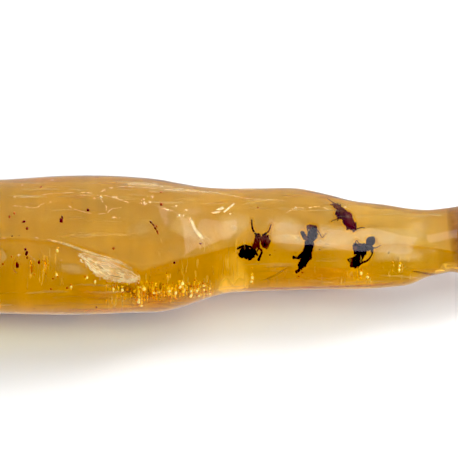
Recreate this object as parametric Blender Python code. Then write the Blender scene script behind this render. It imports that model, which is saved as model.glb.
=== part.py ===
"""A polished lump of copal lying on its side, with four insects sealed inside it.

The lump is one natural piece. It is parted along the plane that the insects lie in, so that each
insect can sit in a pocket of its own. X runs along the lump, Z is up, and the side that the insects
are seen through faces -Y and up.
"""

import itertools
import math

import bmesh
import bpy
import numpy as np
from mathutils import Matrix, Vector

MM = 0.001

# The lump, in millimetres.
TIP_LEFT = -42.7
TIP_RIGHT = 42.7
LEFT_CAP = 11.0  # length over which the thick end rounds off
RIGHT_CAP = 6.5
HEIGHT_TO_WIDTH = 0.92

# Where the lump changes: x, half width, sideways place of its middle, height of its middle.
STATIONS = np.array(
    [
        (-42.7, 8.1, 0.4, 7.9),
        (-34.0, 8.3, 0.2, 7.8),
        (-24.0, 8.66, -0.04, 7.65),
        (-15.0, 8.96, -0.05, 7.9),
        (-7.7, 8.84, -0.03, 7.85),
        (-3.9, 8.64, -0.12, 7.75),
        (-1.2, 8.08, 0.0, 7.7),
        (1.2, 7.42, 0.35, 7.7),
        (4.0, 6.9, 0.87, 7.65),
        (8.5, 6.78, 1.22, 7.6),
        (13.5, 6.73, 1.42, 7.5),
        (17.0, 6.28, 1.07, 7.4),
        (20.0, 5.83, 0.6, 7.3),
        (24.5, 5.38, 0.35, 7.25),
        (27.3, 4.93, 0.35, 7.2),
        (29.5, 4.4, 0.85, 7.15),
        (32.0, 4.25, 1.4, 7.05),
        (36.5, 4.8, 1.8, 6.9),
        (42.7, 4.6, 1.8, 6.8),
    ]
)
HALF_WIDTH, SIDEWAYS, MIDDLE_HEIGHT = 1, 2, 3

# Low swellings (+) and hollows (-) left by polishing a natural drip: x, angle round the lump in
# degrees (0 towards +Y, 90 up), reach along x, reach in degrees, height.
SWELLINGS = [
    (-30.0, 150.0, 7.0, 40.0, -0.35),
    (-13.0, 70.0, 9.0, 30.0, 0.25),
    (-4.0, 200.0, 6.0, 35.0, -0.25),
    (3.0, 120.0, 4.0, 35.0, -0.30),
    (10.0, 100.0, 5.0, 30.0, 0.20),
    (13.0, 20.0, 8.0, 50.0, -0.30),
    (20.0, 150.0, 4.0, 35.0, 0.15),
    (26.0, 110.0, 5.0, 40.0, -0.15),
    (-22.0, 320.0, 10.0, 40.0, -0.35),
    (5.0, 300.0, 7.0, 40.0, 0.25),
    (37.0, 90.0, 3.0, 50.0, 0.20),
    (25.7, 144.0, 3.2, 11.0, 0.26),
]

# The window: the long face polished nearly flat so that the insects can be seen. x, the direction it
# faces in degrees above the near horizon, and how deep it is cut into the round of the lump.
WINDOW = np.array(
    [
        (-42.7, 68.0, 0.1),
        (-24.0, 68.0, 0.3),
        (-18.0, 66.5, 0.72),
        (-12.0, 63.5, 1.1),
        (-6.5, 60.8, 1.34),
        (-3.9, 61.0, 1.3),
        (-2.5, 61.5, 1.1),
        (-1.2, 62.0, 0.8),
        (-0.4, 63.0, 0.6),
        (0.4, 65.5, 0.55),
        (1.2, 67.0, 0.6),
        (2.5, 68.0, 0.55),
        (4.0, 69.0, 0.4),
        (6.0, 70.0, 0.43),
        (9.0, 70.0, 0.45),
        (13.0, 70.5, 0.6),
        (17.0, 70.5, 0.55),
        (22.0, 69.5, 0.45),
        (28.0, 69.0, 0.2),
        (42.7, 68.0, 0.0),
    ]
)
FACING, CUT_DEPTH = 1, 2
WINDOW_BULGE = 0.12  # how much of the round is left in the window
WINDOW_EDGE = 0.25  # how far in from its edge the window is still rounded over

# The crease where the last drip of resin ran over the neck.
CREASE_X = 33.6
CREASE_LEAN = 1.2  # how far the crease runs along x from its back to its front
CREASE_WIDTH = 0.9
CREASE_DEPTH = 0.14

# How finely the lump is cut into faces.
RINGS_IN_LEFT_CAP = 8
RINGS_BETWEEN = 37
RINGS_IN_RIGHT_CAP = 6
SIDES = 42
SHARPEST_SMOOTH = 40.0  # faces that meet at more than this angle, in degrees, keep a crisp edge

# The layer of resin that holds the insects: a plane along x, tilted up towards the viewer.
LAYER_TILT = 40.0
LAYER_MIDDLE = (0.0, -1.03, 9.08)
HALF_GAP = 0.15  # half of the gap between the two halves of the lump
BLOCK = (120.0, 60.0, 30.0)

# How finely an insect is cut into faces.
SEGMENT_SIDES = 10
SEGMENT_RINGS = 7
LIMB_ROUNDING = 1
WELD = 0.001

POCKET_ROOM = 0.31  # how far a pocket's walls stand off its insect
POCKET_START = 40.0  # size of the block that a pocket is pared down from


# ---------------------------------------------------------------- small tools


def clear_scene():
    for old in list(bpy.data.objects):
        bpy.data.objects.remove(old)


def collection(name, inside=None):
    made = bpy.data.collections.new(name)
    (inside or bpy.context.scene.collection).children.link(made)
    return made


def material(name, colour, roughness, clear=0.0):
    """A material of one colour; clear is how much light goes through it."""
    made = bpy.data.materials.new(name)
    made.use_nodes = True
    shader = made.node_tree.nodes["Principled BSDF"]
    shader.inputs["Base Color"].default_value = (*colour, 1.0)
    shader.inputs["Roughness"].default_value = roughness
    shader.inputs["Metallic"].default_value = 0.0
    shader.inputs["Transmission Weight"].default_value = clear
    return made


def object_from(mesh, name, holder, parent=None):
    made = bpy.data.objects.new(name, mesh)
    holder.objects.link(made)
    made.parent = parent
    return made


def mesh_from(bm, name):
    mesh = bpy.data.meshes.new(name)
    bm.to_mesh(mesh)
    bm.free()
    return mesh


def make_cutter(obj):
    obj.hide_render = True
    obj.display_type = "WIRE"
    return obj


def cut(obj, cutter):
    modifier = obj.modifiers.new(cutter.name, "BOOLEAN")
    modifier.operation = "DIFFERENCE"
    modifier.object = cutter


def shade(mesh):
    mesh.shade_smooth()
    mesh.set_sharp_from_angle(angle=math.radians(SHARPEST_SMOOTH))


# ---------------------------------------------------------------- the lump


def along(table, x, column):
    """One measure of the lump at x, on a smooth curve through a table's rows."""
    places = table[:, 0]
    values = table[:, column]
    slopes = np.gradient(values, places)
    i = int(np.clip(np.searchsorted(places, x) - 1, 0, len(places) - 2))
    span = places[i + 1] - places[i]
    t = (x - places[i]) / span
    near = (2 * t**3 - 3 * t**2 + 1) * values[i] + (t**3 - 2 * t**2 + t) * span * slopes[i]
    far = (3 * t**2 - 2 * t**3) * values[i + 1] + (t**3 - t**2) * span * slopes[i + 1]
    return near + far


def end_rounding(x):
    """1 along the lump, falling to 0 at its two tips on a quarter ellipse."""
    from_left = np.clip((x - TIP_LEFT) / LEFT_CAP, 0, 1)
    from_right = np.clip((TIP_RIGHT - x) / RIGHT_CAP, 0, 1)
    return math.sqrt(1 - (1 - from_left) ** 2) * math.sqrt(1 - (1 - from_right) ** 2)


def relief(x, angle):
    """How far the skin stands out of the plain section at x and angle, in degrees."""
    height = 0.0
    for at_x, at_angle, reach, spread, rise in SWELLINGS:
        turned = (angle - at_angle + 180.0) % 360.0 - 180.0
        height += rise * math.exp(-(((x - at_x) / reach) ** 2) - (turned / spread) ** 2)
    crease = CREASE_X + CREASE_LEAN * math.cos(math.radians(angle))
    return height - CREASE_DEPTH * math.exp(-(((x - crease) / CREASE_WIDTH) ** 2))


def window_cut(x, y, z, out):
    """Where a point of the round, given from its middle, lies once the window is polished."""
    facing = math.radians(along(WINDOW, x, FACING))
    outward = np.array((-math.cos(facing), math.sin(facing)))
    half_width = along(STATIONS, x, HALF_WIDTH)
    round_reach = half_width * math.hypot(outward[0], outward[1] * HEIGHT_TO_WIDTH)
    over = float(np.dot((y, z), outward)) - (round_reach - along(WINDOW, x, CUT_DEPTH)) * out
    if over <= 0:
        return y, z
    taken = over - WINDOW_EDGE / 2 if over > WINDOW_EDGE else over**2 / (2 * WINDOW_EDGE)
    return (y, z) - outward * taken * (1 - WINDOW_BULGE)


def skin_point(x, angle):
    """The point of the lump's skin at x and angle. What would sink below the ground is flat on it."""
    out = end_rounding(x)
    half_width = (along(STATIONS, x, HALF_WIDTH) + relief(x, angle)) * out
    turn = math.radians(angle)
    y, z = window_cut(
        x, half_width * math.cos(turn), half_width * HEIGHT_TO_WIDTH * math.sin(turn), out
    )
    z = max(z + along(STATIONS, x, MIDDLE_HEIGHT), 0.0)
    return Vector((x, y + along(STATIONS, x, SIDEWAYS), z)) * MM


def ring_places():
    """x of every ring from tip to tip, close together where the ends round off."""
    left = [
        TIP_LEFT + LEFT_CAP * (1 - math.cos(math.pi / 2 * i / RINGS_IN_LEFT_CAP))
        for i in range(RINGS_IN_LEFT_CAP)
    ]
    between = np.linspace(TIP_LEFT + LEFT_CAP, TIP_RIGHT - RIGHT_CAP, RINGS_BETWEEN)
    right = [
        TIP_RIGHT - RIGHT_CAP * (1 - math.cos(math.pi / 2 * i / RINGS_IN_RIGHT_CAP))
        for i in reversed(range(RINGS_IN_RIGHT_CAP))
    ]
    return [*left, *between, *right]


def lump_mesh():
    """A UV sphere whose rings are drawn out along x into the lump."""
    places = ring_places()
    bm = bmesh.new()
    bmesh.ops.create_uvsphere(bm, u_segments=SIDES, v_segments=len(places) - 1, radius=1.0)
    for vert in bm.verts:
        from_pole = math.acos(max(-1.0, min(1.0, -vert.co.z)))
        ring = round(from_pole / math.pi * (len(places) - 1))
        angle = math.degrees(math.atan2(vert.co.y, vert.co.x)) % 360.0
        vert.co = skin_point(places[ring], angle)
    bmesh.ops.recalc_face_normals(bm, faces=bm.faces)
    return mesh_from(bm, "copal")


def parting_block(name, holder, layer, side):
    """A block that takes away all of the lump on one side (+1 near, -1 far) of the layer, and the gap."""
    bm = bmesh.new()
    bmesh.ops.create_cube(bm, size=1.0)
    bmesh.ops.scale(bm, vec=Vector(BLOCK) * MM, verts=bm.verts)
    made = object_from(mesh_from(bm, name), name, holder, layer)
    made.location = Vector((0, 0, side * (BLOCK[2] / 2 - HALF_GAP))) * MM
    return make_cutter(made)


# ---------------------------------------------------------------- the insects
#
# Each insect is laid out in the layer's own frame, in millimetres from its place: along x, up the
# layer, and out of it towards the viewer. A segment is (centre, radii, turn in degrees). A limb is
# (points, radius at its root, radius at its tip).

CURLED_ANT = {
    "place": (7.95, 0.15, 0.0),
    "segments": {
        "gaster": ((-0.96, -0.92, 0.0), (0.92, 0.57, 0.57), -8),
        "gaster_tip": ((-1.55, -1.16, 0.0), (0.62, 0.27, 0.3), 8),
        "waist": ((-0.32, -0.42, 0.0), (0.3, 0.22, 0.22), 50),
        "thorax": ((0.05, 0.05, 0.0), (0.58, 0.3, 0.3), 55),
        "neck": ((0.68, 0.36, 0.0), (0.4, 0.17, 0.17), -22),
        "head": ((1.19, 0.14, 0.05), (0.45, 0.4, 0.36), -20),
    },
    "limbs": {
        "left_antenna": (
            (
                (0.3, 0.5, 0.0),
                (-0.06, 0.87, 0.1),
                (-0.34, 1.31, 0.1),
                (-0.44, 1.91, 0.0),
                (-0.46, 2.4, -0.3),
            ),
            0.12,
            0.07,
        ),
        "right_antenna": (
            ((0.8, 0.35, 0.0), (0.85, 0.75, 0.1), (1.38, 1.03, 0.1), (1.62, 1.37, 0.1), (1.88, 2.0, 0.0)),
            0.12,
            0.07,
        ),
        "fore_leg": (
            (
                (-0.35, -0.45, 0.1),
                (-1.06, -0.26, 0.25),
                (-1.38, -0.17, 0.25),
                (-1.81, -0.27, 0.1),
                (-2.31, -0.47, 0.0),
            ),
            0.1,
            0.12,
        ),
        "middle_leg": (((-0.2, -0.3, 0.0), (-0.06, -0.8, 0.15), (0.25, -1.21, 0.1)), 0.1, 0.08),
        "hind_leg": (((0.1, 0.0, 0.0), (0.5, -0.4, 0.2), (0.79, -0.8, 0.2), (0.29, -1.62, 0.0)), 0.1, 0.12),
        "far_leg": (((0.1, 0.0, -0.1), (0.45, -0.15, -0.6), (0.1, -0.75, -0.8)), 0.09, 0.07),
    },
}

LONG_ANT = {
    "place": (14.3, -0.15, 0.0),
    "segments": {
        "thorax": ((0.0, -0.3, 0.0), (0.58, 0.46, 0.45), 70),
        "waist": ((0.2, 0.31, 0.0), (0.46, 0.38, 0.37), 80),
        "gaster": ((0.61, 1.22, 0.0), (0.93, 0.49, 0.47), 77),
        "gaster_tip": ((0.69, 2.0, 0.0), (0.4, 0.24, 0.26), 0),
        "shoulder": ((-0.23, -0.99, 0.0), (0.65, 0.45, 0.43), 63),
        "head": ((-0.65, -1.72, 0.0), (0.49, 0.32, 0.31), 48),
    },
    "limbs": {
        "folded_leg": (((0.1, 0.4, 0.0), (-0.2, 0.7, 0.1), (-0.6, 1.3, 0.0)), 0.24, 0.2),
        "bent_leg": (((0.5, 1.2, 0.0), (0.03, 1.55, -0.1), (0.03, 1.9, 0.0)), 0.1, 0.12),
        "fore_leg": (
            ((-0.2, -0.6, 0.0), (-0.75, -0.75, 0.1), (-1.31, -1.18, 0.1), (-1.85, -0.97, 0.0)),
            0.13,
            0.15,
        ),
        "antenna": (((-0.75, -1.8, 0.0), (-0.9, -2.15, 0.05), (-1.4, -2.57, 0.0)), 0.13, 0.17),
        "jaw": (((-0.55, -1.7, 0.0), (-0.2, -1.98, 0.0)), 0.1, 0.09),
        "thin_leg": (
            (
                (0.9, 1.2, 0.0),
                (1.2, 1.63, 0.1),
                (1.52, 1.22, 0.1),
                (1.8, 0.8, 0.0),
                (2.15, 1.07, 0.0),
                (2.4, 1.35, 0.0),
            ),
            0.08,
            0.06,
        ),
        "far_leg": (((0.0, -0.3, -0.2), (0.25, -0.8, -0.75), (-0.1, -1.4, -0.7)), 0.09, 0.07),
    },
}

RED_ANT = {
    "place": (18.94, 2.94, -0.7),
    "segments": {
        "gaster": ((0.5, -0.4, 0.0), (1.15, 0.52, 0.5), -50),
        "gaster_tip": ((1.15, -1.25, 0.0), (0.32, 0.17, 0.18), -55),
        "thorax": ((-0.45, 0.6, -0.1), (0.62, 0.4, 0.4), -48),
        "head": ((-1.0, 1.22, -0.2), (0.37, 0.3, 0.3), -45),
    },
    "limbs": {
        "long_feeler": (
            ((-1.0, 1.25, -0.2), (-1.26, 1.56, -0.3), (-1.76, 1.85, -0.7), (-2.2, 2.1, -1.2)),
            0.08,
            0.06,
        ),
        "short_feeler": (((-1.0, 1.3, -0.2), (-1.4, 1.42, -0.1), (-1.89, 1.35, -0.4)), 0.09, 0.07),
        "fore_leg": (
            (
                (-0.45, 0.4, 0.0),
                (-0.75, 0.12, 0.1),
                (-1.05, -0.12, 0.0),
                (-1.51, -0.28, -0.1),
                (-1.7, -0.5, -0.2),
            ),
            0.08,
            0.06,
        ),
        "hind_leg": (
            ((1.1, -1.2, 0.0), (1.49, -1.22, 0.0), (2.11, -1.12, 0.0), (2.6, -1.2, -0.1)),
            0.07,
            0.09,
        ),
        "far_leg": (((-0.3, 0.5, -0.2), (-0.1, 0.1, -0.7), (0.2, -0.3, -0.75)), 0.08, 0.06),
    },
}

WINGED_ANT = {
    "place": (21.1, -0.7, 0.0),
    "segments": {
        "thorax": ((0.0, 0.05, 0.0), (0.5, 0.38, 0.4), 10),
        "shoulder": ((0.75, 0.17, 0.0), (0.7, 0.22, 0.3), -3),
        "head": ((-0.74, 0.16, 0.0), (0.46, 0.3, 0.34), 8),
        "waist": ((-0.27, -0.42, 0.0), (0.5, 0.3, 0.32), 58),
        "gaster": ((-0.84, -1.04, 0.0), (0.62, 0.42, 0.44), 15),
        "gaster_tip": ((-1.25, -0.95, 0.0), (0.36, 0.17, 0.2), -8),
        "wing": ((1.03, 0.87, 0.07), (0.8, 0.52, 0.15), 52),
    },
    "limbs": {
        "antenna": (
            ((-0.85, 0.3, 0.0), (-0.9, 0.5, 0.05), (-0.65, 1.1, 0.1), (-0.5, 0.7, 0.05), (-0.3, 0.3, 0.0)),
            0.07,
            0.06,
        ),
        "long_leg": (
            (
                (-0.6, -1.15, 0.0),
                (0.16, -1.08, 0.1),
                (0.61, -0.93, 0.1),
                (1.01, -0.64, 0.05),
                (1.37, -0.24, 0.0),
            ),
            0.11,
            0.07,
        ),
        "thin_leg": (((1.2, 0.15, 0.0), (1.55, 0.1, 0.0), (1.91, 0.2, 0.0), (2.4, 0.47, -0.1)), 0.07, 0.06),
        "far_leg": (((0.0, 0.0, -0.1), (0.3, -0.3, -0.6), (0.0, -0.8, -0.8)), 0.09, 0.07),
    },
}

INSECTS = {
    "curled_ant": CURLED_ANT,
    "long_ant": LONG_ANT,
    "red_ant": RED_ANT,
    "winged_ant": WINGED_ANT,
}


def segment(name, holder, layer, place, shape):
    """A ball drawn out into one segment of an insect's body."""
    centre, radii, turn = shape
    bm = bmesh.new()
    bmesh.ops.create_uvsphere(bm, u_segments=SEGMENT_SIDES, v_segments=SEGMENT_RINGS, radius=1.0)
    bmesh.ops.rotate(bm, verts=bm.verts, matrix=Matrix.Rotation(math.pi / 2, 3, "Y"))
    bmesh.ops.scale(bm, vec=Vector(radii) * MM, verts=bm.verts)
    made = object_from(mesh_from(bm, name), name, holder, layer)
    made.location = (Vector(place) + Vector(centre)) * MM
    made.rotation_euler = (0.0, 0.0, math.radians(turn))
    return made


def limb(name, holder, layer, place, shape):
    """A leg or feeler: a tube along its points, tapering."""
    points, root, tip = shape
    curve = bpy.data.curves.new(name, "CURVE")
    curve.dimensions = "3D"
    curve.bevel_depth = MM
    curve.bevel_resolution = LIMB_ROUNDING
    curve.use_fill_caps = True
    spline = curve.splines.new("POLY")
    spline.points.add(len(points) - 1)
    for i, (point, at) in enumerate(zip(spline.points, points)):
        point.co = (*((Vector(place) + Vector(at)) * MM), 1.0)
        point.radius = root + (tip - root) * i / (len(points) - 1)
    drawn = object_from(curve, name, holder, layer)
    bpy.context.view_layer.update()
    mesh = bpy.data.meshes.new_from_object(drawn.evaluated_get(bpy.context.evaluated_depsgraph_get()))
    bpy.data.objects.remove(drawn)
    bm = bmesh.new()
    bm.from_mesh(mesh)
    bmesh.ops.remove_doubles(bm, verts=bm.verts, dist=WELD * MM)
    bmesh.ops.recalc_face_normals(bm, faces=bm.faces)
    bm.to_mesh(mesh)
    bm.free()
    return object_from(mesh, name, holder, layer)


def insect_solid(name, part, cutters, layer, insect):
    """One insect as one solid: its first segment, with all its other segments and limbs joined to it."""
    place = insect["place"]
    first, *others = insect["segments"]
    solid = segment(name, part, layer, place, insect["segments"][first])
    joined = collection(f"{name}_pieces", cutters)
    for piece in others:
        make_cutter(segment(f"{name}.{piece}", joined, layer, place, insect["segments"][piece]))
    for piece, shape in insect["limbs"].items():
        make_cutter(limb(f"{name}.{piece}", joined, layer, place, shape))
    join = solid.modifiers.new("pieces", "BOOLEAN")
    join.operation = "UNION"
    join.operand_type = "COLLECTION"
    join.collection = joined
    solid.data.shade_smooth()
    return solid


def reach_towards(facing, insect):
    """How far an insect reaches from the layer's middle towards a direction."""
    place = Vector(insect["place"])
    reaches = []
    for centre, radii, turn in insect["segments"].values():
        turned = Matrix.Rotation(math.radians(-turn), 3, "Z") @ facing
        bulge = Vector([r * t for r, t in zip(radii, turned)]).length
        reaches.append((place + Vector(centre)).dot(facing) + bulge)
    for points, root, tip in insect["limbs"].values():
        for point in points:
            reaches.append((place + Vector(point)).dot(facing) + max(root, tip))
    return max(reaches)


def pocket_cutter(name, cutters, layer, insect):
    """A block pared down by flat faces, all of which stand off the insect by the same room."""
    bm = bmesh.new()
    bmesh.ops.create_cube(bm, size=POCKET_START * 2)
    for facing in itertools.product((-1, 0, 1), repeat=3):
        if any(facing):
            outward = Vector(facing).normalized()
            plane = outward * (reach_towards(outward, insect) + POCKET_ROOM)
            pared = bmesh.ops.bisect_plane(
                bm,
                geom=[*bm.verts, *bm.edges, *bm.faces],
                plane_co=plane,
                plane_no=outward,
                clear_outer=True,
            )
            rim = [piece for piece in pared["geom_cut"] if isinstance(piece, bmesh.types.BMEdge)]
            bmesh.ops.edgenet_fill(bm, edges=rim)
    bmesh.ops.remove_doubles(bm, verts=bm.verts, dist=WELD)
    bmesh.ops.recalc_face_normals(bm, faces=bm.faces)
    bmesh.ops.scale(bm, vec=Vector((MM, MM, MM)), verts=bm.verts)
    return make_cutter(object_from(mesh_from(bm, name), name, cutters, layer))


# ---------------------------------------------------------------- putting it together


def build():
    clear_scene()
    part = collection("insects_in_copal")
    cutters = collection("cutters")
    resin = material("copal", (0.86, 0.62, 0.2), 0.08, clear=1.0)
    black = material("black_chitin", (0.012, 0.010, 0.009), 0.35)
    red = material("red_chitin", (0.16, 0.03, 0.012), 0.35)

    layer = object_from(None, "layer", part)
    layer.location = Vector(LAYER_MIDDLE) * MM
    layer.rotation_euler = (math.radians(LAYER_TILT), 0.0, 0.0)

    pockets = []
    for name, insect in INSECTS.items():
        solid = insect_solid(name, part, cutters, layer, insect)
        solid.data.materials.append(red if name == "red_ant" else black)
        pockets.append(pocket_cutter(f"{name}_pocket", cutters, layer, insect))

    lump = lump_mesh()
    lump.materials.append(resin)
    shade(lump)
    for name, side in (("copal_front", -1), ("copal_back", 1)):
        half = object_from(lump.copy(), name, part)
        for pocket in pockets:
            cut(half, pocket)
        cut(half, parting_block(f"{name}_block", cutters, layer, side))


build()
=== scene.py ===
import math
import random

import bpy
import numpy as np
from mathutils import Matrix, Vector, noise
from mathutils.bvhtree import BVHTree


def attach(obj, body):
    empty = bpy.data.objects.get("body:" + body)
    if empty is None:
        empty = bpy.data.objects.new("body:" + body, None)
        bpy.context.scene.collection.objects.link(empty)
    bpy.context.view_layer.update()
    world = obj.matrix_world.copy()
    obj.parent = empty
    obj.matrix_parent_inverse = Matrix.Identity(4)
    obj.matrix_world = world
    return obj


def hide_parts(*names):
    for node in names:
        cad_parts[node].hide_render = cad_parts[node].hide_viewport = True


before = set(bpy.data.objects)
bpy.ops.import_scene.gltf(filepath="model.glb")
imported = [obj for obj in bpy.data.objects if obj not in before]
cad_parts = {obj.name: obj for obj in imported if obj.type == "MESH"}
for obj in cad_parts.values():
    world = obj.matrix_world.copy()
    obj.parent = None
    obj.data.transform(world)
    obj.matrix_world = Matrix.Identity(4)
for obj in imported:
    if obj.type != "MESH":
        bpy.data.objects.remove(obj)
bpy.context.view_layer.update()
mm = 0.001


# small helpers

def hexColour(code):
    channels = [int(code[i:i + 2], 16) / 255 for i in (0, 2, 4)]
    return tuple(c / 12.92 if c <= 0.04045 else ((c + 0.055) / 1.055) ** 2.4 for c in channels) + (1.0,)


def addNode(tree, kind, settings=None, links=None):
    node = tree.nodes.new(kind)
    for name, value in (settings or {}).items():
        if isinstance(name, int) or name in node.inputs:
            node.inputs[name].default_value = value
        else:
            setattr(node, name, value)
    for name, source in (links or {}).items():
        tree.links.new(source, node.inputs[name])
    return node


def newMaterial(name):
    made = bpy.data.materials.new(name)
    made.use_nodes = True
    return made, made.node_tree, made.node_tree.nodes["Principled BSDF"]


def pieceFrom(name, points, faces, materials, faceSlots=None):
    mesh = bpy.data.meshes.new(name)
    mesh.from_pydata([tuple(p) for p in points], [], faces)
    mesh.validate()
    for made in materials:
        mesh.materials.append(made)
    if faceSlots is not None:
        mesh.polygons.foreach_set("material_index", faceSlots)
    mesh.shade_smooth()
    piece = bpy.data.objects.new(name, mesh)
    bpy.context.scene.collection.objects.link(piece)
    return piece


# the lump of copal

lumpShape = {
    "leftTip": -42.7, "rightTip": 42.7, "leftCap": 11.0, "rightCap": 6.5, "heightToWidth": 0.92,
    # x, half width, sideways place of the middle, height of the middle
    "stations": [
        (-42.7, 8.1, 0.4, 7.9), (-34.0, 8.3, 0.2, 7.8), (-24.0, 8.66, -0.04, 7.65), (-15.0, 8.96, -0.05, 7.9),
        (-7.7, 8.84, -0.03, 7.85), (-3.9, 8.64, -0.12, 7.75), (-1.2, 8.08, 0.0, 7.7), (1.2, 7.42, 0.35, 7.7),
        (4.0, 6.9, 0.87, 7.65), (8.5, 6.78, 1.22, 7.6), (13.5, 6.73, 1.42, 7.5), (17.0, 6.28, 1.07, 7.4),
        (20.0, 5.83, 0.6, 7.3), (24.5, 5.38, 0.35, 7.25), (27.3, 4.93, 0.35, 7.2), (29.5, 4.4, 0.85, 7.15),
        (32.0, 4.25, 1.4, 7.05), (36.5, 4.8, 1.8, 6.9), (42.7, 4.6, 1.8, 6.8),
    ],
    # x, angle round the lump, reach along x, reach in degrees, height
    "swellings": [
        (-30.0, 150.0, 7.0, 40.0, -0.35), (-13.0, 70.0, 9.0, 30.0, 0.25), (-4.0, 200.0, 6.0, 35.0, -0.25),
        (3.0, 120.0, 4.0, 35.0, -0.30), (10.0, 100.0, 5.0, 30.0, 0.20), (13.0, 20.0, 8.0, 50.0, -0.30),
        (20.0, 150.0, 4.0, 35.0, 0.15), (26.0, 110.0, 5.0, 40.0, -0.15), (-22.0, 320.0, 10.0, 40.0, -0.35),
        (5.0, 300.0, 7.0, 40.0, 0.25), (37.0, 90.0, 3.0, 50.0, 0.20), (25.7, 144.0, 3.2, 11.0, 0.26),
    ],
    # x, the way the polished window faces, how deep it is cut
    "window": [
        (-42.7, 68.0, 0.1), (-24.0, 68.0, 0.3), (-18.0, 66.5, 0.72), (-12.0, 63.5, 1.1), (-6.5, 60.8, 1.34),
        (-3.9, 61.0, 1.3), (-2.5, 61.5, 1.1), (-1.2, 62.0, 0.8), (-0.4, 63.0, 0.6), (0.4, 65.5, 0.55),
        (1.2, 67.0, 0.6),
        (2.5, 68.0, 0.55), (4.0, 69.0, 0.4), (6.0, 70.0, 0.43), (9.0, 70.0, 0.45), (13.0, 70.5, 0.6),
        (17.0, 70.5, 0.55),
        (22.0, 69.5, 0.45), (28.0, 69.0, 0.2), (42.7, 68.0, 0.0),
    ],
    "windowBulge": 0.12, "windowEdge": 0.25,
    # the old rind is left where the skin turns away from the polish
    "polishedFacing": 47.0, "rindFrom": (-0.12, 0.03),
    "rawEnds": ((-35.0, -41.0), (32.4, 37.5)),  # and towards both ends: where it begins and where it is whole
    "crease": {"x": 33.6, "lean": 1.2, "width": 0.9, "depth": 0.14},
    "drawnIn": 0.9968,  # the round skin is taken in by this much, to lie within the flat-sided solid
    "sides": 176, "rings": 500,
}

layerPlace = Matrix.Translation(Vector((0.0, -1.03, 9.08))) @ Matrix.Rotation(math.radians(40.0), 4, "X")


def alongTable(rows, column, x):
    table = np.array(rows)
    places, values = table[:, 0], table[:, column]
    slopes = np.gradient(values, places)
    i = np.clip(np.searchsorted(places, x) - 1, 0, len(places) - 2)
    span = places[i + 1] - places[i]
    t = (x - places[i]) / span
    near = (2 * t**3 - 3 * t**2 + 1) * values[i] + (t**3 - 2 * t**2 + t) * span * slopes[i]
    far = (3 * t**2 - 2 * t**3) * values[i + 1] + (t**3 - t**2) * span * slopes[i + 1]
    return near + far


def lumpSkin(x, angle, shape):
    fromLeft = np.clip((x - shape["leftTip"]) / shape["leftCap"], 0, 1)
    fromRight = np.clip((shape["rightTip"] - x) / shape["rightCap"], 0, 1)
    out = np.sqrt(np.clip(1 - (1 - fromLeft) ** 2, 0, 1)) * np.sqrt(np.clip(1 - (1 - fromRight) ** 2, 0, 1))
    halfWidth = alongTable(shape["stations"], 1, x)
    relief = np.zeros_like(x * angle)
    for atX, atAngle, reach, spread, rise in shape["swellings"]:
        turned = (angle - atAngle + 180.0) % 360.0 - 180.0
        relief = relief + rise * np.exp(-(((x - atX) / reach) ** 2) - (turned / spread) ** 2)
    crease = shape["crease"]
    creaseAt = crease["x"] + crease["lean"] * np.cos(np.radians(angle))
    relief = relief - crease["depth"] * np.exp(-(((x - creaseAt) / crease["width"]) ** 2))
    radius = (halfWidth + relief) * out
    turn = np.radians(angle)
    y = radius * np.cos(turn)
    z = radius * shape["heightToWidth"] * np.sin(turn)
    facing = np.radians(alongTable(shape["window"], 1, x))
    outY, outZ = -np.cos(facing), np.sin(facing)
    roundReach = halfWidth * np.hypot(outY, outZ * shape["heightToWidth"])
    over = y * outY + z * outZ - (roundReach - alongTable(shape["window"], 2, x)) * out
    edge = shape["windowEdge"]
    taken = (np.where(over > edge, over - edge / 2, np.clip(over, 0, None) ** 2 / (2 * edge))
             * (1 - shape["windowBulge"]))
    y = y - outY * taken + alongTable(shape["stations"], 2, x)
    z = np.maximum(z - outZ * taken + alongTable(shape["stations"], 3, x), 0.0)
    return np.stack([x + 0 * y, y * shape["drawnIn"], z * shape["drawnIn"]], axis=-1)


def lumpGrid(shape):
    t = np.linspace(0, math.pi, shape["rings"])
    even = np.linspace(shape["leftTip"], shape["rightTip"], shape["rings"])
    eased = (shape["leftTip"] + shape["rightTip"]) / 2 - np.cos(t) * (shape["rightTip"] - shape["leftTip"]) / 2
    x = (even * 0.72 + eased * 0.28)[1:-1, None]
    angle = (np.arange(shape["sides"]) * 360.0 / shape["sides"])[None, :]
    return lumpSkin(x, angle, shape)


def makeLump(shape, material):
    grid = lumpGrid(shape)
    rings, sides = grid.shape[:2]
    tips = lumpSkin(np.array([[shape["leftTip"]], [shape["rightTip"]]]), np.array([[0.0]]), shape)[:, 0]
    points = np.concatenate([grid.reshape(-1, 3), tips]) * mm
    faces = []
    for i in range(rings - 1):
        for j in range(sides):
            k = (j + 1) % sides
            faces.append((i * sides + j, i * sides + k, (i + 1) * sides + k, (i + 1) * sides + j))
    left, right = rings * sides, rings * sides + 1
    for j in range(sides):
        k = (j + 1) % sides
        faces.append((left, k, j))
        faces.append((right, (rings - 1) * sides + j, (rings - 1) * sides + k))
    piece = pieceFrom("copal", points, faces, [material])
    normals = np.array([v.vector for v in piece.data.vertex_normals])
    facing = np.radians(shape["polishedFacing"])
    turned = normals[:, 1] * -math.cos(facing) + normals[:, 2] * math.sin(facing)
    full, none = shape["rindFrom"]
    share = np.clip((turned - none) / (full - none), 0, 1)
    for begins, whole in shape["rawEnds"]:
        share = np.maximum(share, 0.9 * np.clip((points[:, 0] / mm - begins) / (whole - begins), 0, 1))
    rind = piece.data.attributes.new("rind", "FLOAT", "POINT")
    rind.data.foreach_set("value", share * share * (3 - 2 * share))
    return piece


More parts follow.
